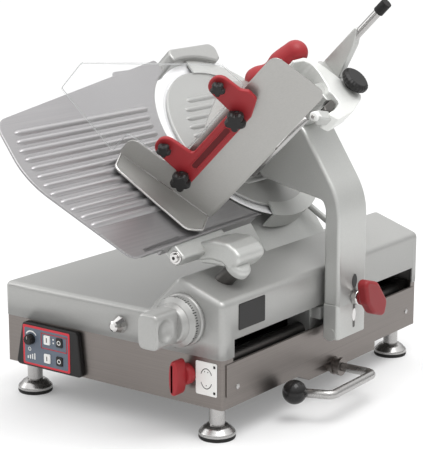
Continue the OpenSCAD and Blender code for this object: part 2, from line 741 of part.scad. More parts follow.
module tray_floor() color(satin) place() tray()
  translate([wall_t0 + 2, 0, -sheet_t]) cube([head_t0 - head_rim - wall_t0 - 2, floor_len, sheet_t]);

module tray_head() color(cast) place() difference() {
  union() {
    along(head_t0 - head_rim, 0, 0) linear_extrude(head_rim + head_h) polygon(rounded([[0, -58], [-2, -24], [4, -2],
      [24, 14], [90, 54], [98, 42], [117, -4], [126, -58], [110, -76], [105, -46], [95, -21],
      [80, -21], [70, -25], [60, -18], [31, -13], [14, -16], [5, -30], [5, -58]],
      [2, 14, 10, 20, 6, 8, 30, 10, 6, 8, 6, 4, 4, 14, 20, 12, 10, 2]));
    along(head_t0 - 8, 0, 0) linear_extrude(10)
      polygon(rounded([[10, 0], [4, 58], [40, 61], [84, 64], [88, 46], [60, 0]], [4, 5, 30, 8, 6, 4]));
    feed() translate([137, -34, -82]) cube([head_t0 - 136, 50, 36]);
    feed() translate([0, rail_y + 8.5, 0]) rotate([90, 0, 0]) linear_extrude(17)
      polygon([[head_t0 + 1, -5.5], [292, -5.5], [262, -25], [224, -37], [head_t0 + 1, -46]]);
  }
  along(0, rail_y, rail_s) cylinder(d = rail_d, h = rail_end);
  along(head_t0 + 2, 42, 68) cylinder(d = 24 + 2 * gap, h = 40);
}

module pusher_rail() color(chrome) place() along(50, rail_y, rail_s)
  cylinder(d = rail_d, h = rail_end - 50 - 4);

module rail_cap() color(black) place() along(rail_end - cap_h, rail_y, rail_s) difference() {
  cylinder(d = rail_d + 4, h = cap_h);
  translate([0, 0, -1]) cylinder(d = rail_d, h = cap_h - 3);
}

module hand_knob() color(black) place() along(head_t0 + 2, 42, 68) {
  cylinder(d = 24, h = 14);
  translate([0, 0, 13]) cylinder(d1 = 40, d2 = 50, h = 5);
  translate([0, 0, 18]) cylinder(d = 50, h = 7);
  translate([0, 0, 25]) cylinder(d1 = 50, d2 = 42, h = 4);
}

module fence_bracket() color(red) place() tray() difference() {
  union() {
    translate([0, fence_y, 0]) rotate([90, 0, 0]) linear_extrude(fence_t) polygon(fence_outline);
    for (k = fence_knobs) translate([k[0], -sheet_t, k[1]]) rotate([90, 0, 0])
      cylinder(d = 24, h = -fence_y - sheet_t + 1);
  }
  translate([fence_knobs[0][0] + 26, fence_y - fence_t - 1, fence_z + 9])
    cube([fence_knobs[1][0] - fence_knobs[0][0] - 52, 5, 10]);
  for (k = fence_knobs) translate([k[0], 0, k[1]]) rotate([90, 0, 0]) cylinder(d = stud_d + 2 * fit, h = 40);
  for (k = shield_knobs) translate([k[0], 0, k[1]]) rotate([90, 0, 0]) cylinder(d = pin_d + 2 * fit, h = 40);
}

module lobes(d, n) {
  circle(d = d * 0.78);
  for (i = [0:n - 1]) rotate(i * 360 / n) translate([d * 0.33, 0]) circle(d = d * 0.34);
}

module fence_knob(k) color(black) place() tray()
  translate([k[0], fence_y - fence_t - gap, k[1]]) rotate([90, 0, 0]) {
    cylinder(d = 22, h = 7);
    translate([0, 0, 6]) linear_extrude(16) lobes(34, 5);
    translate([0, 0, -fence_t]) cylinder(d = stud_d, h = fence_t + 1);
  }

module fence_knob_lower() fence_knob(fence_knobs[0]);
module fence_knob_upper() fence_knob(fence_knobs[1]);

module shield_knob(k) color(black) place() tray()
  translate([k[0], fence_y - fence_t - gap, k[1]]) rotate([90, 0, 0]) {
    cylinder(d = 14, h = 5);
    translate([0, 0, 4]) linear_extrude(12) lobes(24, 5);
    translate([0, 0, -fence_t - shield_t]) cylinder(d = pin_d, h = fence_t + shield_t + 1);
  }

module shield_knob_lower() shield_knob(shield_knobs[0]);
module shield_knob_upper() shield_knob(shield_knobs[1]);

module shield() color([0.85, 0.9, 0.92, 0.4]) place() tray() translate([0, fence_y + shield_t, 0])
  rotate([90, 0, 0]) linear_extrude(shield_t) difference() {
    polygon(rounded([[8, 187], [52, 187], [52, wall_h + 3], [245, wall_h + 3], [250, 148], [108, 310],
      [48, 310]], [4, 6, 6, 8, 14, 10, 6]));
    for (k = shield_knobs) translate([k[0], k[1]]) circle(d = pin_d + 2 * fit);
  }

module lock_knob() color(red) place() {
  right(arm_x0 + 2, lock_y, lock_z) cylinder(d = lock_d, h = 50);
  right(arm_x1 + gap, lock_y, lock_z) {
    cylinder(d = 26, h = 12);
    translate([0, 0, 11]) cylinder(d1 = 30, d2 = 34, h = 15);
  }
  translate([arm_x1 + 24, lock_y, lock_z]) rotate([90, 0, 90]) linear_extrude(20)
    polygon(rounded([[-40, 44], [4, 31], [36, -7], [27, -33], [-8, -22], [-28, 0]],
      [9, 14, 12, 8, 14, 14]));
}

module pusher_sleeve() color(chrome) place() along(sleeve_t0, rail_y, rail_s) difference() {
  union() {
    cylinder(d = sleeve_d, h = sleeve_h);
    cylinder(d = hub_d, h = 4);
    translate([0, 0, sleeve_h - 4]) cylinder(d = hub_d, h = 4);
  }
  translate([0, 0, -1]) cylinder(d = rail_d + 2 * fit, h = sleeve_h + 2);
}

module pusher_plate() color(satin) place() difference() {
  union() {
    along(sleeve_t0 + 4 + gap, rail_y, rail_s) cylinder(d = hub_d, h = sleeve_h - 8 - 2 * gap);
    along(sleeve_t0 + 8, 0, 0) linear_extrude(14) polygon([[2, 60], [-26, 40], [-24, 10], [-14, -44],
      [-4, -60], [12, -64], [12, -42], [4, -28], [-8, -2], [-12, 28], [10, 34]]);
    feed() translate([pusher_t0, -62, -12]) cube([sleeve_t0 - pusher_t0 + 12, 14, 16]);
    tray() translate([pusher_t0, 0, 0]) rotate([90, 0, 90]) linear_extrude(pusher_h)
      polygon(rounded([[14, 8], [220, 8], [220, 60], [170, 96], [40, 96], [14, 70]], same(12, 6)));
  }
  along(0, rail_y, rail_s) cylinder(d = sleeve_d + 2 * fit, h = 400);
  pusher_bar(grip_d);
}

// Grip's axis: a capped bar above the floor, slightly turned from the feed
module pusher_bar(d) {
  feed() translate([123, -37, 31]) rotate([0, 5.9, 20.3]) {
    sphere(d = d);
    rotate([0, 90, 0]) cylinder(d = d, h = 78);
    translate([78, 0, 0]) sphere(d = d);
  }
}

module pusher_grip() color(red) place() pusher_bar(grip_d);

base_skirt();
bottom_plate();
top_cover();
side_panel();
panel_screws();
foot_columns();
foot_flanges();
foot_pads();
control_panel();
knife_support();
knife_bearings();
knife_motor();
drive_belt();
ring_guard();
knife_cover();
sharpener_housing();
lift_bracket();
slide_rods();
carriage_motor();
carriage_belt();
slice_deflector();
cord_gland();
knife();
knife_shaft();
knife_pulley();
motor_pulley();
gauge_plate();
gauge_arm();
gauge_shaft();
dial_ring();
dial_grip();
dial_spindle();
carriage_slider();
drive_pulley();
carriage_arm();
tray_wall();
tray_floor();
tray_head();
fence_bracket();
shield();
pusher_rail();
rail_cap();
hand_knob();
fence_knob_lower();
fence_knob_upper();
shield_knob_lower();
shield_knob_upper();
lock_knob();
pusher_sleeve();
pusher_plate();
pusher_grip();
lift_lever();
lift_ball();
mode_selector();
speed_knob();
knife_start();
knife_stop();
carriage_start();
carriage_stop();
cover_knob();
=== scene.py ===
"""Looks of an automatic gravity-feed food slicer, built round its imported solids.

Lengths are millimetres until a mesh is made, and the frame is the solids' own: X right, Y back, Z up.
"""

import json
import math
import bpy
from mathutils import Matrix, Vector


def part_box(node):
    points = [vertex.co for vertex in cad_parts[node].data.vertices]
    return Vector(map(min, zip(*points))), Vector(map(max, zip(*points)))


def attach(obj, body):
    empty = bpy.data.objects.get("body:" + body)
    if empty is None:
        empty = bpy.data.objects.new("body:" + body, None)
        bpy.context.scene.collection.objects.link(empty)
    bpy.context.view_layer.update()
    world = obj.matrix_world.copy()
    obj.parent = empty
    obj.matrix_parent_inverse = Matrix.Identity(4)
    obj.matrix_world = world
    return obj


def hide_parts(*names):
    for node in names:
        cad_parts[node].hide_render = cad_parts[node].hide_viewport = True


bl_info = {
    "name": "Food slicer",
    "version": (1, 0, 0),
    "blender": (4, 5, 0),
    "location": "3D View > Sidebar > Slicer",
    "description": "Dresses the solids of a gravity-feed food slicer in smooth pieces and finishes",
    "category": "Object",
}

import bpy
import numpy as np
from mathutils import Vector

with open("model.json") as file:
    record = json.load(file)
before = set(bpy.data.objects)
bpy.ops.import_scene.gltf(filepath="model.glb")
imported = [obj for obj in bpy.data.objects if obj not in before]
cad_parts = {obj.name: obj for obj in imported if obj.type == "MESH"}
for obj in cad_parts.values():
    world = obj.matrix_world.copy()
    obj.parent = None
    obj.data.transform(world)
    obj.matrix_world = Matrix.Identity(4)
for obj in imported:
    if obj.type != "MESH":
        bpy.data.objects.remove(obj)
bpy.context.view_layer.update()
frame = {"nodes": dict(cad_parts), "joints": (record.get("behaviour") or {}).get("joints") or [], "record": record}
MM = 0.001
# Width of the flat strip beside a rounded edge, which keeps the flat face's shading flat
GUARD = 0.4
X, Y, Z = np.eye(3)


# Frames and places

class Place:
    """A frame of its own: an origin in millimetres and three directions."""

    def __init__(self, origin, a, b, c):
        self.origin = np.asarray(origin, float)
        self.axes = np.array([a, b, c], float)

    def at(self, points):
        """Points of this frame in the object's frame."""
        return self.origin + np.asarray(points, float) @ self.axes

    def moved(self, a, b, c):
        """The same directions from another origin."""
        return Place(self.at((a, b, c)), *self.axes)


def joint(name):
    """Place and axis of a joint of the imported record, in millimetres."""
    found = next(j for j in frame["joints"] if j["name"] == name)
    return np.array(found.get("pos_m", (0, 0, 0))) / MM, np.array(found["axis"], float)


def span(node):
    """Lowest and highest corner of a solid, in millimetres."""
    low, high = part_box(node)
    return np.array(low) / MM, np.array(high) / MM


SKIRT_LOW, SKIRT_HIGH = span("base_skirt")
COVER_TOP = span("top_cover")[1][2]
HALF_W, HALF_D = (SKIRT_HIGH - SKIRT_LOW)[:2] / 2
TOP_Z = SKIRT_HIGH[2]
MIDDLE = np.append((SKIRT_HIGH + SKIRT_LOW)[:2] / 2, 0)
BASE = Place(MIDDLE, X, Y, Z)

KNIFE, ALONG = joint("knife_spin")
DOWN = np.cross(ALONG, -Y)
# Feed frame: along the feed, to the back, down the knife's face
FEED = Place(KNIFE, ALONG, Y, DOWN)
LEAN = math.radians(32.1)
FLOOR = Y * math.cos(LEAN) - DOWN * math.sin(LEAN)
UPWALL = -Y * math.sin(LEAN) - DOWN * math.cos(LEAN)
WALL_Y, WALL_S = -218, 133
# Tray frame: along the feed, along the floor to the back, up the wall
TRAY = Place(FEED.at((0, WALL_Y, WALL_S)), ALONG, FLOOR, UPWALL)


def facing_front(x, y, z):
    """A frame on the base whose third axis points to the front."""
    return Place(BASE.at((x, y, z)), X, Z, -Y)


def facing_right(x, y, z):
    """A frame on the base whose third axis points to the right."""
    return Place(BASE.at((x, y, z)), Y, Z, X)


def along_feed(t, y, s):
    """A frame whose plane is the knife's (down, back) and whose third axis is the feed."""
    return Place(FEED.at((t, y, s)), DOWN, Y, ALONG)


# Shapes as arrays

class Shape:
    """Points with quads and many-sided caps; edge is 1 on rounded edges and 0 elsewhere."""

    def __init__(self, points, quads, caps=(), edge=None):
        self.points = np.asarray(points, float)
        self.quads = np.asarray(quads, int).reshape(-1, 4)
        self.caps = [np.asarray(c, int) for c in caps]
        self.edge = np.zeros(len(self.points)) if edge is None else np.asarray(edge, float)

    def put(self, place):
        """The shape in the object's frame, with its faces turned outwards."""
        self.points = place.at(self.points)
        return self.outward()

    def outward(self):
        """Faces turned so that the sum of face centre times face area vector is positive."""
        p = self.points - self.points.mean(0)
        q = p[self.quads]
        volume = (q.mean(1) * np.cross(q[:, 2] - q[:, 0], q[:, 3] - q[:, 1])).sum()
        for cap in self.caps:
            ring = p[cap]
            volume += ring.mean(0) @ np.cross(ring, np.roll(ring, -1, 0)).sum(0)
        if volume < 0:
            self.quads = self.quads[:, ::-1]
            self.caps = [c[::-1] for c in self.caps]
        return self


def grid_quads(rows, cols, wrap_rows=False, wrap_cols=False):
    """Quads of a grid of points numbered row by row."""
    i = np.arange(rows if wrap_rows else rows - 1)[:, None]
    j = np.arange(cols if wrap_cols else cols - 1)[None, :]
    below, right = (i + 1) % rows, (j + 1) % cols
    corners = (i * cols + j, i * cols + right, below * cols + right, below * cols + j)
    return np.stack(np.broadcast_arrays(*corners), -1).reshape(-1, 4)


def loft(rings, edge=None, closed=False):
    """Skin over closed rings, an array of rings by points by three, with a cap on each end."""
    rings = np.asarray(rings, float)
    count, around = rings.shape[:2]
    quads = grid_quads(count, around, closed, True)
    first, last = np.arange(around)[::-1], np.arange(around) + (count - 1) * around
    shade = None if edge is None else np.repeat(edge, around)
    return Shape(rings.reshape(-1, 3), quads, () if closed else (first, last), shade)


def unit(v):
    return v / np.linalg.norm(v, axis=-1, keepdims=True)


def arc_corner(a, b, c, radius, steps):
    """Points that round the corner b between a and c: an arc about the point on the bisector."""
    u, v = unit(a - b), unit(c - b)
    half = math.acos(np.clip(u @ v, -1, 1)) / 2
    turn = math.pi - 2 * half
    if radius <= 0 or turn < 0.01:
        return b[None, :]
    reach = radius / math.tan(half)
    centre = b + unit(u + v) * radius / math.sin(half)
    s = np.linspace(0, 1, steps + 1)[:, None]
    start, stop = unit(b + u * reach - centre), unit(b + v * reach - centre)
    arc = centre + radius * (np.sin((1 - s) * turn) * start + np.sin(s * turn) * stop) / math.sin(turn)
    return np.vstack([b + u * (reach + GUARD), arc, b + v * (reach + GUARD)])


def rounded(points, radii, closed=True, steps=8):
    """An outline or line in two or three dimensions with each corner rounded by its radius."""
    points = np.asarray(points, float)
    count = len(points)
    radii = [radii] * count if np.isscalar(radii) else radii
    inner = range(count) if closed else range(1, count - 1)
    arcs = [arc_corner(points[i - 1], points[i], points[(i + 1) % count], radii[i], steps) for i in inner]
    return np.vstack(arcs if closed else [points[:1], *arcs, points[-1:]])


def box_outline(a0, b0, a1, b1, radius, steps=6):
    """A rectangle with rounded corners."""
    return rounded([(a0, b0), (a1, b0), (a1, b1), (a0, b1)], radius, steps=steps)


def arc(radius, start, stop, steps):
    """Points of a circle's arc between two angles in degrees."""
    v = np.radians(np.linspace(start, stop, steps))
    return radius * np.stack([np.cos(v), np.sin(v)], -1)


def superellipse(half_a, half_b, power_a, power_b, steps):
    """A closed outline (a cos v, b sin v) with the size of each wave raised to a power."""
    v = np.linspace(0, 2 * math.pi, steps + 1)[:-1]
    waves = ((half_a, np.cos(v), power_a), (half_b, np.sin(v), power_b))
    return np.stack([half * np.sign(wave) * np.abs(wave) ** power for half, wave, power in waves], -1)


def inset(outline, depth, closed=True):
    """Each point moved inwards along its mitre by a depth, for an outline of either turning."""
    ahead = unit(np.roll(outline, -1, 0) - outline)
    side = np.stack([ahead[:, 1], -ahead[:, 0]], -1)
    before = np.roll(side, 1, 0)
    if not closed:
        side[-1], before[0] = side[-2], side[0]
    mitre = (side + before) / (1 + (side * before).sum(1, keepdims=True))
    nxt = np.roll(outline, -1, 0)
    turning = np.sign((outline[:, 0] * nxt[:, 1] - outline[:, 1] * nxt[:, 0]).sum())
    return outline - turning * depth * mitre


def rim_rows(radius, steps):
    """Insets and heights of a quarter-round rim: at angle v inset r(1 - sin v), height r(1 - cos v)."""
    v = np.linspace(0, math.pi / 2, steps + 1)
    depth = np.concatenate([[radius + GUARD], radius * (1 - np.sin(v)), [0]])
    height = np.concatenate([[0], radius * (1 - np.cos(v)), [radius + GUARD]])
    edge = np.concatenate([[0], np.sin(2 * v), [0]])
    return depth, height, edge


def slab(outline, low, high, radius=1.0, steps=4, between=()):
    """A plate over an outline from low to high, with quarter-round rims at both faces.

    between holds the heights of further rows on the plate's side.
    """
    depth, height, edge = rim_rows(radius, steps)
    middle = np.asarray(between, float)
    depths = np.concatenate([depth, 0 * middle, depth[::-1]])
    heights = np.concatenate([low + height, middle, high - height[::-1]])
    edges = np.concatenate([edge, 0 * middle, edge[::-1]])
    flat = np.stack([inset(outline, d) for d in depths])
    tall = np.broadcast_to(heights[:, None, None], flat.shape[:2] + (1,))
    return loft(np.concatenate([flat, tall], -1), edges)


def revolve(profile, segments=64, wave=None, closed=False):
    """A surface of revolution: at angle v a profile point (r, h) goes to (r cos v, r sin v, h).

    wave multiplies the radius by a value for each angle, as on a lobed knob.
    """
    profile = np.asarray(profile, float)
    v = np.arange(segments) * 2 * math.pi / segments
    swell = np.ones(segments) if wave is None else wave(v)
    r = profile[:, :1] * swell[None, :]
    h = np.broadcast_to(profile[:, 1:], r.shape)
    slope = np.abs(np.gradient(np.arctan2(*np.gradient(profile, axis=0).T[::-1])))
    return loft(np.stack([r * np.cos(v), r * np.sin(v), h], -1), np.clip(2 * slope, 0, 1), closed)


def turned(points, radii, segments=64, wave=None, steps=5):
    """A surface of revolution whose profile (r, h) has rounded corners."""
    return revolve(rounded(points, radii, False, steps), segments, wave)


def disc(radius, low, high, edge, segments):
    """A plain round plate or boss whose upper edge is rounded."""
    return turned([(0.1, low), (radius, low), (radius, high), (0.1, high)], (0, 0, edge, 0), segments)


def sweep(path, section, up, closed=False):
    """A section carried along a path: its first axis is up cross the path's direction."""
    path = np.asarray(path, float)
    if closed:
        ahead = unit(np.roll(path, -1, 0) - np.roll(path, 1, 0))
    else:
        ahead = unit(np.gradient(path, axis=0))
    side = unit(np.cross(np.broadcast_to(up, path.shape), ahead))
    top = np.cross(ahead, side)
    rings = path[:, None] + section[None, :, :1] * side[:, None] + section[None, :, 1:] * top[:, None]
    return loft(rings, None, closed)


def circle(radius, sides):
    """A round section."""
    return arc(radius, 0, 360, sides + 1)[:-1]


def tube(path, radius, up, sides):
    """A round bar along a path."""
    return sweep(path, circle(radius, sides), up)


def rib(start, stop, middle, width, height, sink=0.6):
    """A raised rib from start to stop along the second axis, which runs out into the plate at both ends.

    Across it the height is a half cosine; toward an end width and height shrink as a sine, and the end
    itself lies below the plate by the sink.
    """
    half = width / 2
    v = np.linspace(0.05, math.pi / 2, 7)
    ends = 2.0 * half * (1 - np.cos(v))
    run = np.concatenate([start + ends, stop - ends[::-1]])
    shrink = np.concatenate([np.sin(v), np.sin(v)[::-1]])
    u = np.linspace(-1, 1, 11)
    across = np.concatenate([u, [1, -1]])
    rise = np.concatenate([height * np.cos(u * math.pi / 2), [0, 0]])
    a = middle + half * shrink[:, None] * across[None, :]
    c = rise * shrink[:, None] - sink * (1 - shrink[:, None]) ** 2
    c[:, -2:] -= sink
    b = np.broadcast_to(run[:, None], a.shape)
    return loft(np.stack([a, b, c], -1))


def lobed(count, depth):
    """Radius factor of a knob with round lobes: 1 less a rectified cosine notch."""
    return lambda v: 1 - depth * (0.5 - 0.5 * np.cos(count * v)) ** 1.6


# Finishes

class Wire:
    """A socket whose arithmetic adds Math nodes."""

    def __init__(self, finish, socket):
        self.finish = finish
        self.socket = socket

    def math(self, operation, first, second):
        return self.finish.node("ShaderNodeMath", {"operation": operation}, {0: first, 1: second})

    def __add__(self, other):
        return self.math("ADD", self, other)

    def __radd__(self, other):
        return self.math("ADD", other, self)

    def __sub__(self, other):
        return self.math("SUBTRACT", self, other)

    def __mul__(self, other):
        return self.math("MULTIPLY", self, other)


class Finish:
    """A material on a Principled shader, made node by node."""

    def __init__(self, name):
        self.material = bpy.data.materials.new(name)
        self.material.use_nodes = True
        self.tree = self.material.node_tree
        self.shader = self.tree.nodes["Principled BSDF"]

    def node(self, kind, settings=None, inputs=None, output=0):
        """A new node: its settings first, then the values or links of its sockets."""
        made = self.tree.nodes.new(kind)
        for key, value in (settings or {}).items():
            setattr(made, key, value)
        for key, value in (inputs or {}).items():
            self.feed(made.inputs[key], value)
        return Wire(self, made.outputs[output])

    def feed(self, socket, value):
        """Links a wire to a socket, or sets the socket's own value."""
        if isinstance(value, Wire):
            self.tree.links.new(value.socket, socket)
        else:
            socket.default_value = value

    def shade(self, **sockets):
        """Values or wires for the shader, by socket name with spaces as underscores."""
        for key, value in sockets.items():
            self.feed(self.shader.inputs[key.replace("_", " ")], value)
        return self

    def place(self, scale, turn):
        """Object coordinates, turned and stretched."""
        where = self.node("ShaderNodeTexCoord", output="Object")
        return self.node("ShaderNodeMapping", None, {"Vector": where, "Rotation": turn, "Scale": scale})

    def noise(self, scale, detail=3.0, turn=(0, 0, 0)):
        """Noise between 0 and 1 with a scale for each axis, in waves a metre."""
        spot = self.place(scale, turn)
        return self.node("ShaderNodeTexNoise", None, {"Vector": spot, "Scale": 1.0, "Detail": detail})

    def edge(self):
        """The piece's own mark of rounded edges."""
        return self.node("ShaderNodeAttribute", {"attribute_name": "edge"}, output="Fac")

    def mix(self, factor, first, second):
        """A colour between two colours."""
        inputs = {0: factor, 6: first, 7: second}
        return self.node("ShaderNodeMix", {"data_type": "RGBA"}, inputs, 2)

    def bump(self, height, strength, distance):
        """A normal tilted by the slope of a height."""
        inputs = {"Height": height, "Strength": strength, "Distance": distance}
        return self.node("ShaderNodeBump", None, inputs)


def tone(colour, factor):
    """A colour made lighter or darker, with full alpha."""
    return tuple(min(1.0, c * factor) for c in colour[:3]) + (1.0,)


def metal(name, colour, roughness, grain, turn=(0, 0, 0), contrast=0.14, smear=0.05, metallic=1.0):
    """Ground or cast metal: fine grain stretched by its scales, faint clouds and a painted highlight that makes
    rounded edges brighter.
    """
    made = Finish(name)
    grains = made.noise(grain, 4.0, turn)
    clouds = made.noise((7, 7, 7), 5.0)
    painted_edge_light = made.edge()
    # Painted highlight: the edge mark makes rounded edges brighter
    factor = 0.5 + (grains - 0.5) * 1.1 + (clouds - 0.5) * 0.7 + painted_edge_light * 0.35
    made.shade(
        Base_Color=made.mix(factor, tone(colour, 1 - contrast), tone(colour, 1 + contrast)),
        Roughness=roughness + (grains - 0.5) * smear * 2 + (clouds - 0.5) * smear - painted_edge_light * 0.06,
        Metallic=metallic,
        Normal=made.bump(grains, 0.08, 0.0004),
    )
    return made.material


def plastic(name, colour, roughness, speckle=900.0, contrast=0.12, coat=0.0, relief=0.12):
    """Moulded plastic or rubber: a fine pebble, faint blotches and a painted highlight that makes rounded edges
    slightly lighter.
    """
    made = Finish(name)
    pebble = made.noise((speckle,) * 3, 2.0)
    blotch = made.noise((28, 28, 28), 4.0)
    painted_edge_light = made.edge()
    # Painted highlight: the edge mark makes rounded edges slightly lighter
    factor = 0.45 + (pebble - 0.5) * 0.6 + (blotch - 0.5) * 0.8 + painted_edge_light * 0.3
    made.shade(
        Base_Color=made.mix(factor, tone(colour, 1 - contrast), tone(colour, 1 + contrast)),
        Roughness=roughness + (blotch - 0.5) * 0.12 + (pebble - 0.5) * 0.1,
        Coat_Weight=coat,
        Specular_IOR_Level=0.3,
        Normal=made.bump(pebble, relief, 0.0003),
    )
    return made.material


def clear(name, colour, alpha):
    """Clear sheet: nearly see-through faces, with light caught in the rounded edges and faint scuffs."""
    made = Finish(name)
    scuffs = made.noise((40, 40, 900), 3.0, (0, math.radians(45), 0))
    painted_edge_light = made.edge()
    made.shade(
        # Painted edge light: the edge mark makes rounded edges nearly opaque and darker in colour
        Base_Color=made.mix(painted_edge_light, tone(colour, 1.0), tone(colour, 0.34)),
        Roughness=0.12 + scuffs * 0.1,
        Alpha=alpha + painted_edge_light * 0.94 + (scuffs - 0.5) * 0.03,
        Normal=made.bump(scuffs, 0.02, 0.0002),
    )
    made.material.surface_render_method = "BLENDED"
    return made.material


LEVEL = (4, 4, 700)
FEED_GRAIN = (5, 700, 700)
FEED_TURN = (0, math.radians(45), 0)


def finish(name):
    """The finish of that name, made when it is first asked for."""
    found = bpy.data.materials.get("finish_" + name)
    return found or RECIPES[name]("finish_" + name, bpy.context.scene.slicer_colours)


RECIPES = {
    "skirt": lambda n, c: metal(n, c.skirt, 0.36, LEVEL, contrast=0.16, smear=0.08),
    "cover": lambda n, c: metal(n, c.cover, 0.42, (260, 260, 260), contrast=0.06, metallic=0.5),
    "tray": lambda n, c: metal(n, c.tray, 0.38, FEED_GRAIN, FEED_TURN, contrast=0.09, metallic=0.65),
    "gauge": lambda n, c: metal(n, c.gauge, 0.34, (420, 5, 420), contrast=0.1, metallic=0.65),
    # Lighter copy of the gauge colour for the ribs: a painted highlight on them
    "rib": lambda n, c: metal(n, tone(c.gauge, 1.3), 0.3, (420, 5, 420), contrast=0.08, metallic=0.6),
    "cast": lambda n, c: metal(n, c.cast, 0.44, (420, 420, 420), contrast=0.08, metallic=0.55),
    # Lighter copy of the cast colour for the head's rim: painted light on a face that lies in shade
    "head": lambda n, c: metal(n, tone(c.cast, 1.45), 0.42, (420, 420, 420), contrast=0.06, metallic=0.4),
    "bright": lambda n, c: metal(n, c.bright, 0.16, (60, 60, 60), contrast=0.05, smear=0.03),
    "satin": lambda n, c: metal(n, tone(c.bright, 0.7), 0.27, (60, 60, 60), contrast=0.06, smear=0.04),
    # Near-white colour with little metal: the knife's bright reflection painted in as colour
    "knife": lambda n, c: metal(n, c.knife, 0.35, (500, 500, 500), contrast=0.03, smear=0.03, metallic=0.3),
    "dark_steel": lambda n, c: metal(n, c.dark, 0.42, (300, 300, 300), contrast=0.2, smear=0.08),
    "red": lambda n, c: plastic(n, c.red, 0.42, contrast=0.1),
    # Darker copy of the red for the lock knob: painted shade against the stronger light on it
    "shaded_red": lambda n, c: plastic(n, tone(c.red, 0.75), 0.45, contrast=0.1),
    "panel_red": lambda n, c: plastic(n, c.panel_red, 0.35, contrast=0.06, coat=0.2),
    "panel_face": lambda n, c: plastic(n, c.panel_face, 0.4, 1600.0, 0.08, 0.1),
    # Dark red for the fence's channel: painted shade of the groove's recess
    "painted_groove_shade": lambda n, c: plastic(n, tone(c.red, 0.35), 0.6, contrast=0.1),
    "black": lambda n, c: plastic(n, c.black, 0.42, contrast=0.25),
    "gloss_black": lambda n, c: plastic(n, c.black, 0.2, contrast=0.15, coat=0.04, relief=0.02),
    "rubber": lambda n, c: plastic(n, c.black, 0.62, 1400.0, 0.3),
    "white": lambda n, c: plastic(n, c.white, 0.38, contrast=0.05),
    "clear": lambda n, c: clear(n, c.clear, 0.05),
}


# Pieces

def build_mesh(name, parts):
    """A mesh from (shape, finish) pairs: each finish has its own material slot."""
    finishes = list(dict.fromkeys(kind for _, kind in parts))
    points = np.vstack([shape.points for shape, _ in parts]) * MM
    faces, marks, start = [], [], 0
    for shape, kind in parts:
        own = (shape.quads + start).tolist() + [(cap + start).tolist() for cap in shape.caps]
        faces += own
        marks += [finishes.index(kind)] * len(own)
        start += len(shape.points)
    mesh = bpy.data.meshes.new(name)
    mesh.from_pydata(points.tolist(), [], faces)
    mesh.polygons.foreach_set("material_index", marks)
    mesh.polygons.foreach_set("use_smooth", [True] * len(faces))
    edge = mesh.attributes.new("edge", "FLOAT", "POINT")
    edge.data.foreach_set("value", np.concatenate([s.edge for s, _ in parts]).astype(np.float32))
    for kind in finishes:
        mesh.materials.append(finish(kind))
    mesh.update()
    return mesh


def piece(name, parts, body, replaces=(), flat=False):
    """A finished piece that rides on a body, with its parts' finishes, and may stand for solids."""
    made = bpy.data.objects.new(name, build_mesh(name, parts))
    bpy.context.scene.collection.objects.link(made)
    if flat:
        made.data.shade_flat()
    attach(made, body)
    if replaces:
        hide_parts(*replaces)
    return made


def step(operator):
    """Marks an operator's class as one of the steps, in the order of the file."""
    STEPS.append(operator)
    return operator


STEPS = []


class SlicerColours(bpy.types.PropertyGroup):
    """Base colours of the finishes."""

    def tint(name, description, default):
        return bpy.props.FloatVectorProperty(
            name=name, description=description, default=default, size=3, min=0, max=1, subtype="COLOR")

    skirt: tint("Skirt", "Brushed stainless skirt", (0.21, 0.19, 0.178))
    cover: tint("Cover", "Satin cover of the base", (0.375, 0.375, 0.365))
    tray: tint("Tray", "Brushed tray sheet", (0.4, 0.395, 0.38))
    gauge: tint("Gauge plate", "Satin gauge plate", (0.31, 0.303, 0.308))
    cast: tint("Castings", "Blasted aluminium castings", (0.5, 0.505, 0.49))
    bright: tint("Bright metal", "Polished rods and screws", (0.62, 0.61, 0.6))
    # Near-white, so that the knife shows its bright reflection as painted colour
    knife: tint("Knife", "Polished knife steel", (0.86, 0.86, 0.87))
    dark: tint("Dark steel", "Inner and blackened parts", (0.12, 0.115, 0.11))
    red: tint("Red plastic", "Moulded handles and brackets", (0.3, 0.021, 0.026))
    panel_red: tint("Panel red", "Border of the control panel", (0.56, 0.02, 0.035))
    panel_face: tint("Panel face", "Face of the control panel", (0.115, 0.14, 0.18))
    black: tint("Black plastic", "Knobs, pads and bezels", (0.012, 0.0115, 0.0115))
    white: tint("White plastic", "Buttons and plates", (0.78, 0.78, 0.76))
    clear: tint("Clear sheet", "Shield", (0.86, 0.88, 0.88))


class SlicerSizes(bpy.types.PropertyGroup):
    """Sizes of details that the solids leave plain, in millimetres, and one share of a radius."""

    def length(name, description, default):
        return bpy.props.FloatProperty(name=name, description=description, default=default, min=0)

    cover_edge: length("Cover edge", "Radius of the cover's rounded edges", 9.0)
    cover_wall: length("Cover wall", "Thickness of the cover's wall", 4.0)
    cast_edge: length("Casting edge", "Radius of the castings' rounded edges", 6.0)
    rib_width: length("Rib width", "Width of a rib on the gauge plate", 12.0)
    rib_height: length("Rib height", "Height of a rib on the gauge plate", 3.6)
    lobe_depth: length("Lobe depth", "Depth of a knob's notches as a share of its radius", 0.3)
    lever_bend: length("Lever bend", "Bend radius of the lift lever", 14.0)


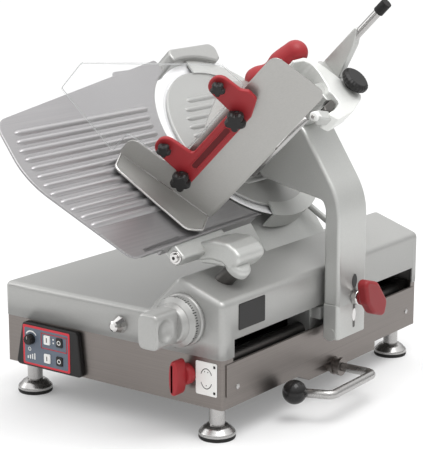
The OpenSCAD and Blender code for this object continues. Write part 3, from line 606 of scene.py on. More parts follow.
class SlicerStage(bpy.types.PropertyGroup):
    """Camera, light and floor."""

    lens: bpy.props.FloatProperty(
        name="Lens", description="Focal length", default=124.54, min=1, unit="CAMERA")
    key: bpy.props.FloatProperty(
        name="Key light", description="Power of the large light above", default=34.0, min=0, unit="POWER")
    fill: bpy.props.FloatProperty(
        name="Fill light", description="Power of the light from the left", default=14.0, min=0, unit="POWER")
    sky: bpy.props.FloatProperty(
        name="Surround", description="Strength of the light at the horizon", default=0.22, min=0)
    surround: bpy.props.FloatVectorProperty(
        name="Surround tone", description="Tone of the light all round", default=(1.0, 1.0, 1.0), size=3,
        subtype="COLOR")
    zenith: bpy.props.FloatProperty(
        name="Zenith", description="Light from straight above as a share of the horizon's", default=7.5)
    glow: bpy.props.FloatProperty(
        name="Floor glow", description="Even light of the floor's own", default=0.2, min=0)
    floor: bpy.props.FloatVectorProperty(
        name="Floor", description="Tone of the floor", default=(0.62, 0.62, 0.62), size=3, subtype="COLOR")


def sizes():
    return bpy.context.scene.slicer_sizes


# Base

DECK_Z = TOP_Z + 58
RIDGE_FOOT, APEX = 77.5, np.array([139.5, COVER_TOP])
COVER_X, COVER_Y = HALF_W + 2.5, HALF_D + 2.5
SHOULDER_Z = APEX[1] - (COVER_X - APEX[0]) * 29 / 85.5
SLOT_Y = (-HALF_D + 28, HALF_D - 17)
SLOT_Z = TOP_Z + 28
FOOT_X, FOOT_Y = HALF_W - 32, HALF_D - 30
TICKS = 60
DIAL, _ = joint("dial_turn")
DIAL_X, DIAL_Z = DIAL[0] - MIDDLE[0], DIAL[2]


def cover_skin(radius):
    """The cover's outside as one sheet: its cross profile carried from front to back.

    Toward each end the profile is inset by r(1 - sin v) while the run goes on by r(1 - cos v). Cells in
    the carriage's slot are left out.
    """
    line = [(-COVER_X, TOP_Z), (-COVER_X, DECK_Z), (RIDGE_FOOT, DECK_Z), tuple(APEX),
            (COVER_X, SHOULDER_Z), (COVER_X, SLOT_Z), (COVER_X, TOP_Z)]
    profile = rounded(line, (0, 10, 14, 10, 12, 0, 0), False)
    depth, height, edge = rim_rows(radius, 6)
    runs = np.concatenate([-COVER_Y + height, SLOT_Y, COVER_Y - height[::-1]])
    depths = np.concatenate([depth, (0, 0), depth[::-1]])
    edges = np.concatenate([edge, (0, 0), edge[::-1]])
    flat = np.stack([inset(profile, d, False) for d in depths])
    flat[:, [0, -1], 1] = TOP_Z
    back = np.broadcast_to(runs[:, None], flat.shape[:2])
    points = np.stack([flat[..., 0], back, flat[..., 1]], -1)
    rows, cols = points.shape[:2]
    quads = grid_quads(rows, cols)
    first_slot = len(depth)
    hole = (quads[:, 0] // cols == first_slot) & (quads[:, 0] % cols == cols - 2)
    caps = (np.arange(cols)[::-1], np.arange(cols) + (rows - 1) * cols)
    return Shape(points.reshape(-1, 3), quads[~hole], caps, np.repeat(edges, cols))


@step
class SLICER_OT_cover(bpy.types.Operator):
    """Satin cover of the base with its ridge, slot and dial boss."""
    bl_idname = "slicer.cover"
    bl_label = "Top cover"

    def execute(self, context):
        skin = cover_skin(sizes().cover_edge).put(BASE)
        made = piece("cover_shell", [(skin, "cover")], "base", ["top_cover"])
        wall = made.modifiers.new("wall", "SOLIDIFY")
        wall.thickness = sizes().cover_wall * MM
        wall.offset = -1
        boss = disc(42, 0, 8, 4, 96)
        boss.put(facing_front(DIAL_X, -COVER_Y, DIAL_Z))
        piece("dial_boss", [(boss, "cover")], "base")
        return {"FINISHED"}


@step
class SLICER_OT_plates(bpy.types.Operator):
    """Bare plates on the base and the seam under the side panel."""
    bl_idname = "slicer.plates"
    bl_label = "Plates"

    def execute(self, context):
        badge = slab(box_outline(-262, 178, -191, 220, 2.5), -0.3, 0.9, 0.5).put(facing_right(COVER_X, 0, 0))
        piece("side_badge", [(badge, "black")], "base")
        low, high = span("side_panel")
        seam = box_outline(low[1] - MIDDLE[1] + 2, low[2] - 1, high[1] - MIDDLE[1] - 2, low[2] + 0.6, 0.3, 2)
        piece("panel_seam", [(slab(seam, -0.5, 0.3, 0.1).put(facing_right(HALF_W, 0, 0)), "dark_steel")],
              "base")
        face = facing_front(0, -HALF_D, 0)
        plate = slab(box_outline(174, 77, 215, 131, 3), -0.3, 0.7, 0.4).put(face)
        marks = [slab(box_outline(208, z, 212, z + 4, 0.6, 2), 0.5, 0.9, 0.15).put(face) for z in (81, 123)]
        for start, stop in ((25, 155), (205, 335)):
            path = np.array([194.5, 104]) + arc(13, start, stop, 25) * (0.85, 1.25)
            path = np.column_stack([path, np.full(25, 0.7)])
            marks.append(sweep(path, circle(0.7, 6) * (1, 0.3), Z).put(face))
        dots = [turned([(0.05, 0.5), (0.9, 0.5), (0.9, 0.9), (0.05, 0.9)], 0, 10).put(
            face.moved(194.5 + a, 104 + b, 0)) for a, b in ((-3, 11), (3, 11), (0, -11))]
        parts = [(plate, "white")] + [(mark, "black") for mark in marks + dots]
        piece("mode_plate", parts, "base")
        return {"FINISHED"}


@step
class SLICER_OT_feet(bpy.types.Operator):
    """Domed flanges of the four feet."""
    bl_idname = "slicer.feet"
    bl_label = "Feet"

    def execute(self, context):
        pad = span("foot_flanges")[0][2]
        domes = []
        for x in (-1, 1):
            for y in (-1, 1):
                profile = [(0.1, 0), (29.5, 0), (29.5, 4.5), (22, 12.5), (16.5, 16), (0.1, 16)]
                dome = turned(profile, (0, 0.6, 4, 14, 1, 0), 72, steps=8)
                domes.append(dome.put(BASE.moved(x * FOOT_X, y * FOOT_Y, pad)))
        piece("foot_domes", [(d, "satin") for d in domes], "base", ["foot_flanges"])
        return {"FINISHED"}


PANEL_LOW, PANEL_HIGH = span("control_panel") - MIDDLE
PANEL_FACE = PANEL_LOW[1]
BUTTONS = {"knife_start": "white", "knife_stop": "black", "carriage_start": "white", "carriage_stop": "black"}
SPEED, _ = joint("speed_knob_turn")
SPEED = SPEED - MIDDLE


def ring_band(centre, inner, outer, start, stop, low, high):
    """A flat band along an arc, as a sector of a ring."""
    outline = np.vstack([arc(outer, start, stop, 20), arc(inner, stop, start, 20)]) + centre
    return slab(outline, low, high, 0.1, 1)


@step
class SLICER_OT_control_panel(bpy.types.Operator):
    """Control panel: sloping black bezel, red border, slate face with plain marks and lamps."""
    bl_idname = "slicer.control_panel"
    bl_label = "Control panel"

    def execute(self, context):
        depth = -HALF_D - PANEL_FACE
        place = facing_front(0, -HALF_D, 0)
        x0, x1, z0, z1 = PANEL_LOW[0], PANEL_HIGH[0], PANEL_LOW[2], PANEL_HIGH[2]
        bezel = slab(rounded([(x0, z0), (x1, z0), (x1 - 8, z1), (x0 + 16, z1)], 7), 0, depth, 2.2)
        u = SPEED[0]
        border = slab(box_outline(u - 19, z0 + 3.5, u + 85, z1 - 4, 3), depth - 0.5, depth + 0.6, 0.3)
        face = slab(box_outline(u - 15, z0 + 7, u + 81, z1 - 8, 2.5), depth, depth + 0.85, 0.2)
        parts = [(bezel.put(place), "black"), (border.put(place), "panel_red")]
        parts.append((face.put(place), "panel_face"))
        low, high = depth + 0.5, depth + 1.05
        a0, b0, a1, b1 = u + 22, z0 + 37, u + 79, z1 - 12
        wide = 1.4
        for bar in ((a0, b0, a1, b0 + wide), (a0, b1 - wide, a1, b1), (a0, b0, a0 + wide, b1),
                    (a1 - wide, b0, a1, b1)):
            parts.append((slab(box_outline(*bar, 0.2, 2), low, high, 0.1, 1).put(place), "panel_red"))
        parts.append((ring_band((u, SPEED[2]), 12.2, 14.6, 35, 145, low, high).put(place), "white"))
        for k in range(4):
            bar = box_outline(u - 9 + 5 * k, z0 + 14, u - 6.5 + 5 * k, z0 + 19 + 2 * k, 0.5, 2)
            parts.append((slab(bar, low, high, 0.1, 1).put(place), "white"))
        parts.append((ring_band((u - 4, z0 + 31), 2.2, 3.4, 0, 359, low, high).put(place), "white"))
        for z in (z0 + 50, z0 + 56):
            lamp = turned([(0.1, 0), (1.5, 0), (1.5, 0.9), (0.1, 1.3)], (0, 0, 0.5, 0), 16)
            parts.append((lamp.put(place.moved(u + 49.5, z, low)), "white"))
        piece("panel_body", parts, "base", ["control_panel"])
        return {"FINISHED"}


@step
class SLICER_OT_buttons(bpy.types.Operator):
    """Push buttons with a plain bar or ring on each face."""
    bl_idname = "slicer.buttons"
    bl_label = "Buttons"

    def execute(self, context):
        for node, kind in BUTTONS.items():
            low, high = span(node)
            place = Place((low + high) / 2 * (1, 0, 1) + (0, high[1], 0), X, Z, -Y)
            w, h = (high - low)[[0, 2]] / 2
            tall = high[1] - low[1]
            cap = slab(box_outline(-w, -h, w, h, 2.2), 0, tall, 1.2).put(place)
            if kind == "white":
                mark = slab(box_outline(-1, -4, 1, 4, 0.5, 2), tall - 0.5, tall + 0.12, 0.1, 1)
                parts = [(cap, "white"), (mark.put(place), "black")]
            else:
                mark = ring_band((0, 0), 2.6, 4, 0, 359.5, tall - 0.5, tall + 0.12)
                parts = [(cap, "black"), (mark.put(place), "white")]
            piece(node + "_cap", parts, node, [node])
        return {"FINISHED"}


@step
class SLICER_OT_small_knobs(bpy.types.Operator):
    """Speed knob, cone knob of the cover and the red selector."""
    bl_idname = "slicer.small_knobs"
    bl_label = "Small knobs"

    def execute(self, context):
        place = facing_front(SPEED[0], PANEL_FACE, SPEED[2])
        profile = [(0.1, 0.3), (9, 0.3), (9, 8), (7.6, 12.2), (0.1, 12.2)]
        knob = turned(profile, (0, 0.5, 2, 1.2, 0), 72, lobed(12, 0.07))
        line = slab(box_outline(-0.75, 1.5, 0.75, 7, 0.2, 2), 12, 12.3, 0.1, 1)
        piece("speed_cap", [(knob.put(place), "black"), (line.put(place), "white")],
              "speed_knob", ["speed_knob"])

        spot, _ = joint("cover_knob_turn")
        place = facing_front(spot[0] - MIDDLE[0], -COVER_Y, spot[2])
        cone = revolve([(14.4, 0.3), (14.9, 0.8), (14.6, 2.2), (8.7, 17.8), (5.5, 19.9), (1.2, 20.2)], 12)
        piece("cone_knob", [(cone.put(place), "bright")], "cover_knob", ["cover_knob"], True)

        spot, _ = joint("mode_selector_turn")
        place = facing_front(spot[0] - MIDDLE[0], -HALF_D, spot[2])
        hub = turned([(0.1, 0.3), (17, 0.3), (17, 7), (15, 13), (0.1, 14)], (0, 0.6, 3, 4, 0), 64)
        wing = slab(superellipse(8.2, 28, 0.8, 0.9, 48), 9, 40, 6.5, 7)
        parts = [(hub.put(place), "red"), (wing.put(place), "red")]
        piece("selector_wing", parts, "mode_selector", ["mode_selector"])
        return {"FINISHED"}


def scooped_grip(length, half_w, half_h, scoop):
    """The dial's grip: a rounded block whose sides are hollowed by a ball.

    Sections are superellipses; a side point goes no further out than the ball's near face,
    at ball centre minus the root of (radius squared less the squared offsets).
    """
    centre, rise, radius = scoop
    a, b = superellipse(half_w, half_h, 0.42, 0.42, 96).T
    h = np.concatenate([np.linspace(0, length - 5, 40), length - 5 + 5 * np.sin(np.linspace(0.1, 1.5, 8))])
    shrink = np.concatenate([np.zeros(40), 5 * (1 - np.cos(np.linspace(0.1, 1.5, 8)))])
    aa = np.sign(a)[None] * np.maximum(np.abs(a)[None] - shrink[:, None], 0.5)
    bb = np.sign(b)[None] * np.maximum(np.abs(b)[None] - shrink[:, None], 0.5)
    inside = radius ** 2 - bb ** 2 - (h[:, None] - rise) ** 2
    limit = np.where(inside > 0, centre - np.sqrt(np.maximum(inside, 0)), 1e3)
    aa = np.sign(aa) * np.minimum(np.abs(aa), limit)
    edge = np.concatenate([np.zeros(40), np.full(8, 0.8)])
    return loft(np.stack([aa, bb, np.broadcast_to(h[:, None], aa.shape)], -1), edge)


@step
class SLICER_OT_dial(bpy.types.Operator):
    """Thickness dial: ring with ticks, collar and scooped grip."""
    bl_idname = "slicer.dial"
    bl_label = "Dial"

    def execute(self, context):
        ring_low, ring_high = span("dial_ring")
        back = ring_high[1] - MIDDLE[1]
        tall = ring_high[1] - ring_low[1]
        place = facing_front(DIAL_X, back, DIAL_Z)
        radius = (ring_high[0] - ring_low[0]) / 2
        profile = [(0.1, 0), (radius, 0), (radius, tall - 7), (radius - 7, tall), (0.1, tall)]
        ring = turned(profile, (0, 1, 2, 2, 0), 128)
        parts = [(ring.put(place), "cover")]
        for k in range(TICKS):
            v = math.radians(360 / TICKS * k)
            out = np.array([math.cos(v), math.sin(v), 0])
            side = np.array([-math.sin(v), math.cos(v), 0])
            long = 4.4 if k % 5 == 0 else 2.3
            tick = Place(place.at(out * radius + (0, 0, tall - 11)), *(np.array([side, Z, out]) @ place.axes))
            mark = slab(box_outline(-0.75, -long, 0.75, long, 0.1, 1), -0.4, 0.12, 0.05, 1)
            parts.append((mark.put(tick), "black"))
        piece("dial_band", parts, "dial", ["dial_ring"])

        low, high = span("dial_grip")
        place = facing_front(DIAL_X, high[1] - MIDDLE[1], DIAL_Z)
        collar = turned([(0.1, 0), (33, 0), (29, 11), (0.1, 12)], (0, 0.6, 3, 0), 96)
        grip = scooped_grip(high[1] - low[1], 19, 28, (34, 40, 24))
        piece("dial_handle", [(collar.put(place), "cover"), (grip.put(place), "cover")],
              "dial", ["dial_grip"])
        return {"FINISHED"}


# Gauge plate and knife

KNIFE_R = 165
PLATE_GAP = 5
HOUSING_GAP = 5.2
DISC_RIB_PITCH = 17.6
DISC_RIB_REACH = 110


def gauge_outline():
    """Corners (down, back) of the gauge plate, with the arc round the knife between two of them."""
    radius = KNIFE_R + PLATE_GAP
    top = (-math.sqrt(radius ** 2 - 62 ** 2), -62)
    low = (150.1, -math.sqrt(radius ** 2 - 150.1 ** 2))
    start, stop = (math.degrees(math.atan2(p[1], p[0])) for p in (top, low))
    corners = [(-118, -505), (-185, -62), top, low, (160, -425), (-10, -522)]
    before = rounded(corners, (35, 6, 0, 0, 25, 120), steps=12)
    cut = int(np.argmin(np.hypot(*(before - top).T))) + 1
    return np.vstack([before[:cut], arc(radius, start % 360, stop % 360, 60)[1:-1], before[cut:]])


@step
class SLICER_OT_gauge(bpy.types.Operator):
    """Ribbed gauge plate with its folded foot, and the cast arm that carries it."""
    bl_idname = "slicer.gauge"
    bl_label = "Gauge plate"

    def execute(self, context):
        place = along_feed(0, 0, 0)
        plate = slab(gauge_outline(), -4, 0, 1.6).put(place)
        fold = slab(rounded([(142, -88), (149.6, -88), (156, -340), (145, -340)], 3), -26, 0, 2.5).put(place)
        lip = slab(rounded([(142, -300), (155, -300), (157.5, -395), (146, -395)], 3), -13, 0, 2.5).put(place)
        parts = [(plate, "gauge"), (fold, "gauge"), (lip, "gauge")]
        size = sizes()
        for s in np.linspace(-91, 89, 12):
            left = -505 + max(0, (-s - 60)) * 0.5 + max(0, s - 20) * 0.55
            right = -math.sqrt((KNIFE_R + 25) ** 2 - s ** 2)
            # The ribs take the lighter rib finish, a painted highlight
            parts.append((rib(left + 6, right, s, size.rib_width, size.rib_height).put(place), "rib"))
        tab = rounded([(-150, -196), (-176, -178), (-175, -92), (-150, -80)], (3, 5, 8, 3))
        parts.append((slab(tab, -8, -4.1, 1).put(place), "gauge"))
        piece("gauge_sheet", parts, "gauge", ["gauge_plate"])

        shaft_y = span("gauge_shaft")
        mid = (shaft_y[0][1] + shaft_y[1][1]) / 2 - KNIFE[1]
        block = rounded([(151, mid - 80), (182, mid - 78), (182, mid + 48), (149, mid + 50)], 6)
        block = slab(block, -28.5, -4, 4).put(place)
        elbow_place = Place(FEED.at((0, mid, 0)), ALONG, DOWN, Y)
        elbow = rounded([(-28.5, 163), (-6, 163), (18, 177), (36, 196), (40.5, 212), (40.5, 233), (5.5, 233),
                         (5.5, 214), (-8, 197), (-28.5, 184)], (7.5, 12, 20, 16, 12, 12, 7.5, 10, 16, 7.5))
        elbow = slab(elbow, -22, 50, 6.5, 7).put(elbow_place)
        web = rounded([(-27, 162), (-6, 166), (14, 184), (8, 224), (-6, 208), (-27, 188)], 4)
        web = slab(web, -20, 48, 3).put(elbow_place)
        boss = turned([(0.1, 0), (21.5, 0), (21.5, 16.2), (0.1, 16.8)], (0, 2, 8, 0), 64)
        boss = boss.put(along_feed(6, mid, 229))
        bolt_place = Place(FEED.at((-15, mid - 80, 172)), ALONG, DOWN, -Y)
        washer = disc(10.5, -1, 1.6, 0.8, 32)
        head = disc(7.5, 1, 6, 0.8, 6)
        # The bolt's hex socket is a black disc: painted shade of the recess
        socket = disc(3, 5, 6.1, 0, 6)
        parts = [(shape, "cast") for shape in (block, elbow, web, boss)]
        parts += [(shape.put(bolt_place), kind) for shape, kind in (
            (washer, "bright"), (head, "bright"), (socket, "black"))]
        piece("gauge_bracket", parts, "gauge", ["gauge_arm"])
        return {"FINISHED"}


@step
class SLICER_OT_knife_group(bpy.types.Operator):
    """Knife, its ribbed cover disc and the sharpener's housing."""
    bl_idname = "slicer.knife_group"
    bl_label = "Knife and housings"

    def execute(self, context):
        place = along_feed(0, 0, 0)
        disc = turned([(0.1, -4.5), (145, -4.5), (147, 1.5), (0.1, 1.5)], (0, 0.5, 2, 0), 192).put(place)
        parts = [(disc, "cover")]
        for s in np.arange(-5, 6) * DISC_RIB_PITCH - 3:
            half = math.sqrt(DISC_RIB_REACH ** 2 - s ** 2)
            parts.append((rib(-half, half, s, 12, 2.6).put(place.moved(0, 0, 1.5)), "cover"))
        piece("disc_cover", parts, "base", ["knife_cover"])

        hub = [(12.1, -13), (46, -13), (52, -9), (149, -9), (KNIFE_R, -0.8), (KNIFE_R, -0.2),
               (148, -6), (12.1, -6)]
        blade = revolve(rounded(hub, (0, 2, 2, 1, 0, 0, 1, 0), steps=3), 192, closed=True).put(place)
        piece("blade", [(blade, "knife")], "knife", ["knife"])

        radius = KNIFE_R + HOUSING_GAP
        corner = (-math.sqrt(radius ** 2 - 75 ** 2), 75)
        foot = (-math.sqrt(radius ** 2 - 38 ** 2), -38)
        start, stop = (math.degrees(math.atan2(p[1], p[0])) for p in (corner, foot))
        body = rounded([foot, (-192, -38), (-193, 101), (-158, 87), corner], (0, 14, 14, 6, 0))
        hollow = arc(radius, start % 360, stop % 360, 30)[1:-1]
        housing = slab(np.vstack([body, hollow]), -40, 15, 4, 5).put(place)
        piece("sharpener_case", [(housing, "cover")], "base", ["sharpener_housing"])
        return {"FINISHED"}


# Carriage

ARM_LOW, ARM_HIGH = span("carriage_arm") - MIDDLE
LOCK, _ = joint("lock_knob_turn")
LOCK = LOCK - MIDDLE


def cross(t, s):
    """Place in the base's XZ plane of a point along and down the feed."""
    point = FEED.at((t, 0, s)) - MIDDLE
    return point[0], point[2]


@step
class SLICER_OT_carriage_arm(bpy.types.Operator):
    """Cast carriage arm with its pivot ears, and a keyhole slot drawn as painted shade."""
    bl_idname = "slicer.carriage_arm"
    bl_label = "Carriage arm"

    def execute(self, context):
        x1 = ARM_HIGH[0]
        x0, z0 = x1 - 30, ARM_LOW[2]
        y0, width = ARM_LOW[1], ARM_HIGH[1] - ARM_LOW[1]
        ear = z0 + 56
        edge = sizes().cast_edge
        corners = [(x0, ear), (x1, ear), (x1, z0 + 234), cross(137, 93), cross(137, -50),
                   cross(16, -50), cross(16, 93), (x0 - 5, z0 + 232), (x0, z0 + 218)]
        outline = rounded(corners, (0, 0, 120, 60, 2, 2, 10, 12, 12), steps=14)
        step_y = KNIFE[1] - MIDDLE[1] + 5
        arm = slab(outline, -(y0 + width), -y0, edge, 6, (-step_y - 0.2, -step_y + 0.2))
        points = arm.points[:, [0, 2, 1]] * (1, -1, 1)
        local = (BASE.at(points) - KNIFE) @ FEED.axes.T
        floor = WALL_S - (local[:, 1] - WALL_Y) * math.tan(LEAN) + 2.9 / math.cos(LEAN)
        under = np.where(local[:, 1] > 5, np.maximum(floor, 35.6), floor)
        local[:, 2] = np.where(local[:, 2] < under, under, local[:, 2])
        arm.points = FEED.at(local)
        arm.outward()
        right = x1 - 0.1
        ears = rounded([(x0, y0), (right, y0), (right, y0 + width), (x0, y0 + width), (x0, y0 + 65),
                        (x1 - 4.5, y0 + 65), (x1 - 4.5, y0 + 23), (x0, y0 + 23)], (3, 6, 6, 3, 2, 2, 2, 2))
        ears = slab(ears, z0, ear + 3, 1.4)
        parts = [(arm, "cast"), (ears.put(BASE), "cast")]
        face = facing_right(x1, 0, 0)
        y = LOCK[1] - 1
        # Keyhole slot: a dark slot and a black eye on the face, painted shade where the opening lies
        slot_shade = slab(box_outline(y - 3.4, z0 + 12, y + 3.4, z0 + 86, 2.9), -0.5, 0.18, 0.1, 1).put(face)
        eye = slab(superellipse(8, 12, 1, 1, 40) + (y, z0 + 92), -0.5, 0.2, 0.1, 1).put(face)
        drop = slab(superellipse(5.5, 11, 1, 1, 40) + (y, z0 + 34), -0.5, 0.25, 0.1, 1).put(face)
        pin, _ = joint("carriage_tilt")
        cap = disc(11, -1, 0.4, 0.3, 48)
        cap = cap.put(Place(pin * (1, 0, 1) + (0, MIDDLE[1] + y0, 0), X, Z, -Y))
        parts += [(slot_shade, "dark_steel"), (eye, "black"), (drop, "bright"), (cap, "cast")]
        piece("arm_casting", parts, "tray", ["carriage_arm"])
        return {"FINISHED"}


@step
class SLICER_OT_lock_knob(bpy.types.Operator):
    """Red wing knob that locks the carriage, with its bright collar."""
    bl_idname = "slicer.lock_knob"
    bl_label = "Lock knob"

    def execute(self, context):
        place = facing_right(ARM_HIGH[0], LOCK[1], LOCK[2])
        collar = turned([(0.1, 0.3), (13, 0.3), (13, 9), (10, 12), (0.1, 12)], (0, 0.6, 2, 1, 0), 48)
        stem = turned([(0.1, 11), (11.5, 11), (13, 20), (16, 30), (0.1, 30)], (0, 1, 3, 4, 0), 48)
        corners = [(-40, 44), (4, 31), (36, -7), (27, -33), (-8, -22), (-28, 0)]
        wing = slab(rounded(corners, (10, 16, 14, 9, 16, 16)), 24, 44, 6, 6)
        # The lock knob takes the darker red: painted shade against the light on its face
        parts = [(collar.put(place), "bright"), (stem.put(place), "shaded_red"), (wing.put(place), "shaded_red")]
        piece("lock_wing", parts, "lock_knob", ["lock_knob"])
        return {"FINISHED"}


WALL_END = 312
FOLD = 8
SHEET, SHEET_EDGE = 2.5, 1.1


@step
class SLICER_OT_tray(bpy.types.Operator):
    """Tray wall, its end plate with a rolled rim, and a rod under the wall."""
    bl_idname = "slicer.tray"
    bl_label = "Tray wall"

    def execute(self, context):
        wall = rounded([(10, 0), (WALL_END, 0), (WALL_END, 98), (47, 98), (47, 178), (10, 178)],
                       (2, 15, 15, 26, 14, 8), steps=12)
        upright = Place(TRAY.origin, ALONG, UPWALL, -FLOOR)
        sheet = slab(wall, 0, SHEET, SHEET_EDGE).put(upright)
        end = rounded([(0, 3), (0, 174), (-41, 174), (-65, 29), (-42, 3)], (1.2, 1.2, 12, 22, 10), steps=10)
        across = Place(TRAY.at((FOLD, 0, 0)), FLOOR, UPWALL, ALONG)
        plate = slab(end, 0, SHEET, SHEET_EDGE).put(across)
        rim = np.column_stack([inset(end, 1.2), np.full(len(end), SHEET / 2)])
        roll = sweep(across.at(rim), circle(2.2, 10), ALONG, True).outward()
        line = np.array([(115, -6, -9), (180, -6, -9), (252, -6, -9)])
        rod = tube(upright.at(line), 4.5, Y, sides=20).outward()
        parts = [(sheet, "tray"), (plate, "tray"), (roll, "bright"), (rod, "satin")]
        piece("tray_side", parts, "tray", ["tray_wall"])
        return {"FINISHED"}


HEAD_T = 200
RAIL_Y = 48


@step
class SLICER_OT_head(bpy.types.Operator):
    """Cast head at the tray's upper end, with rail gusset, bumper, catch and hand knob."""
    bl_idname = "slicer.head"
    bl_label = "Tray head"

    def execute(self, context):
        place = along_feed(HEAD_T, 0, 0)
        rim = rounded([(0, -58), (-2, -24), (4, -2), (24, 14), (90, 54), (98, 42), (117, -4), (126, -58),
                       (110, -76), (105, -46), (95, -21), (80, -21), (70, -25), (60, -18), (31, -13),
                       (14, -16), (5, -30), (5, -58)],
                      (1.9, 14, 10, 20, 6, 8, 30, 10, 6, 8, 6, 4, 4, 14, 20, 12, 10, 1.9))
        rim = slab(rim, -20, 10, 1.4, 5).put(place)
        plate = rounded([(10, 0), (4, 58), (40, 61), (84, 64), (88, 46), (60, 0)], (4, 5, 30, 8, 6, 4))
        plate = slab(plate, -8, 2, 2, 4).put(place)
        block = slab(box_outline(46, -34, 82, 16, 4), -63, 2, 2).put(place)
        gusset = rounded([(201, 5.5), (292, 5.5), (262, 25), (224, 37), (201, 46)], (2.2, 3, 10, 12, 2.2))
        gusset = slab(gusset, RAIL_Y - 8.5, RAIL_Y + 8.5, 1.6, 5).put(Place(KNIFE, ALONG, DOWN, Y))
        link = rounded([(103, -58), (120, -62), (114, -90), (95, -88)], (2, 4, 7, 7))
        link = slab(link, -12, 6, 3, 4).put(place)
        # The rim takes the lighter head finish: painted light on its shaded face
        parts = [(rim, "head")] + [(shape, "cast") for shape in (plate, block, gusset, link)]
        bumper = turned([(0.1, -2), (8, -2), (8, 7), (0.1, 8)], (0, 0, 2.5, 0), 40)
        screw = turned([(0.1, 7), (3.4, 7), (3.4, 9), (0.1, 9.2)], (0, 0, 0.8, 0), 24)
        spot = Place(FEED.at((HEAD_T - 2, -88, 103)), ALONG, DOWN, -Y)
        parts += [(bumper.put(spot), "white"), (screw.put(spot), "bright")]
        catch = slab(rounded([(82, -24), (94, -24), (104, -46), (102, -66), (92, -58)], 4), -14, 5, 2.5, 4)
        parts.append((catch.put(place), "dark_steel"))
        piece("head_casting", parts, "tray", ["tray_head"])

        place = along_feed(HEAD_T + 2, 42, 68)
        stem = turned([(0.1, 0), (12, 0), (11.5, 14), (0.1, 14)], (0, 0.5, 1, 0), 40)
        profile = [(0.1, 13), (20, 13), (24.8, 18), (24.8, 25), (19, 29), (0.1, 29)]
        grip = turned(profile, (0, 2, 3, 3, 4, 0), 144, lobed(24, 0.03))
        piece("hand_grip", [(stem.put(place), "black"), (grip.put(place), "black")],
              "tray", ["hand_knob"])
        return {"FINISHED"}


FENCE_Y, FENCE_T, SHIELD_T = -10, 8, 5
FENCE_KNOBS = {"fence_knob_lower": (53, 80), "fence_knob_upper": (199, 80)}
SHIELD_KNOBS = {"shield_knob_lower": (79, 131), "shield_knob_upper": (223, 131)}


def before_wall(distance):
    """A frame parallel to the tray wall: along the feed, up the wall, to the front."""
    return Place(TRAY.at((0, distance, 0)), ALONG, UPWALL, -FLOOR)


@step
class SLICER_OT_fence(bpy.types.Operator):
    """Red bracket on the tray wall: bar with a channel, two tabs for the shield and two posts."""
    bl_idname = "slicer.fence"
    bl_label = "Fence bracket"

    def execute(self, context):
        place = before_wall(FENCE_Y)
        corners = [(36, 63), (212, 63), (243, 75), (246, 92), (239, 103), (240, 146), (206, 146),
                   (198, 92), (98, 92), (96, 146), (62, 146), (55, 92), (36, 92)]
        radii = (14, 10, 8, 6, 3, 16.5, 16.5, 5, 5, 16.5, 16.5, 4, 14)
        bar = rounded(corners, radii, steps=10)
        parts = [(slab(bar, 0, FENCE_T, 2.4, 5).put(place), "red")]
        # The channel is a dark inlay ringed by a bead: painted shade stands for its recess
        channel = box_outline(78, 71.5, 174, 82.5, 5)
        parts.append((slab(channel, FENCE_T - 1, FENCE_T + 0.08, 0.05, 1).put(place), "painted_groove_shade"))
        bead = np.column_stack([channel, np.full(len(channel), FENCE_T)])
        parts.append((sweep(place.at(bead), circle(1.0, 10), -FLOOR, True).outward(), "red"))
        for a, b in FENCE_KNOBS.values():
            post = disc(12, -7.5, 1, 0, 48)
            parts.append((post.put(place.moved(a, b, 0)), "red"))
        piece("fence_casting", parts, "tray", ["fence_bracket"])
        return {"FINISHED"}


def lobed_knob(radius, stem, rise, tall):
    """A lobed clamping knob on its stem: a turned body whose radius dips between its lobes."""
    neck = turned([(0.1, 0.3), (stem, 0.3), (stem, rise + 1), (0.1, rise + 1)], (0, 0.5, 0, 0), 32)
    top = [(0.1, rise), (radius - 1, rise), (radius, rise + tall * 0.6), (radius - 3, rise + tall),
           (0.1, rise + tall)]
    head = turned(top, (0, 2, tall * 0.3, 2.5, 0), 120, lobed(5, sizes().lobe_depth))
    return [neck, head]


@step
class SLICER_OT_clamp_knobs(bpy.types.Operator):
    """The four black lobed knobs of the fence and the shield."""
    bl_idname = "slicer.clamp_knobs"
    bl_label = "Clamp knobs"

    def execute(self, context):
        place = before_wall(FENCE_Y - FENCE_T)
        for knobs, shape in ((FENCE_KNOBS, (17, 11, 6.3, 16)), (SHIELD_KNOBS, (12, 7, 4.3, 12))):
            for node, (a, b) in knobs.items():
                parts = [(part.put(place.moved(a, b, 0)), "black") for part in lobed_knob(*shape)]
                piece(node + "_grip", parts, node, [node])
        return {"FINISHED"}


@step
class SLICER_OT_shield(bpy.types.Operator):
    """Clear shield with bright rounded edges."""
    bl_idname = "slicer.shield"
    bl_label = "Shield"

    def execute(self, context):
        outline = rounded([(8, 187), (52, 187), (52, 101), (245, 101), (250, 148), (108, 310), (48, 310)],
                          (4, 6, 6, 8, 14, 10, 6))
        sheet = slab(outline, 0, SHIELD_T, 1.2, 4).put(before_wall(FENCE_Y + SHIELD_T))
        piece("clear_shield", [(sheet, "clear")], "tray", ["shield"])
        return {"FINISHED"}


GRIP_R, GRIP_LONG = 21, 78
LEVER_R, BALL_R = 7.4, 20


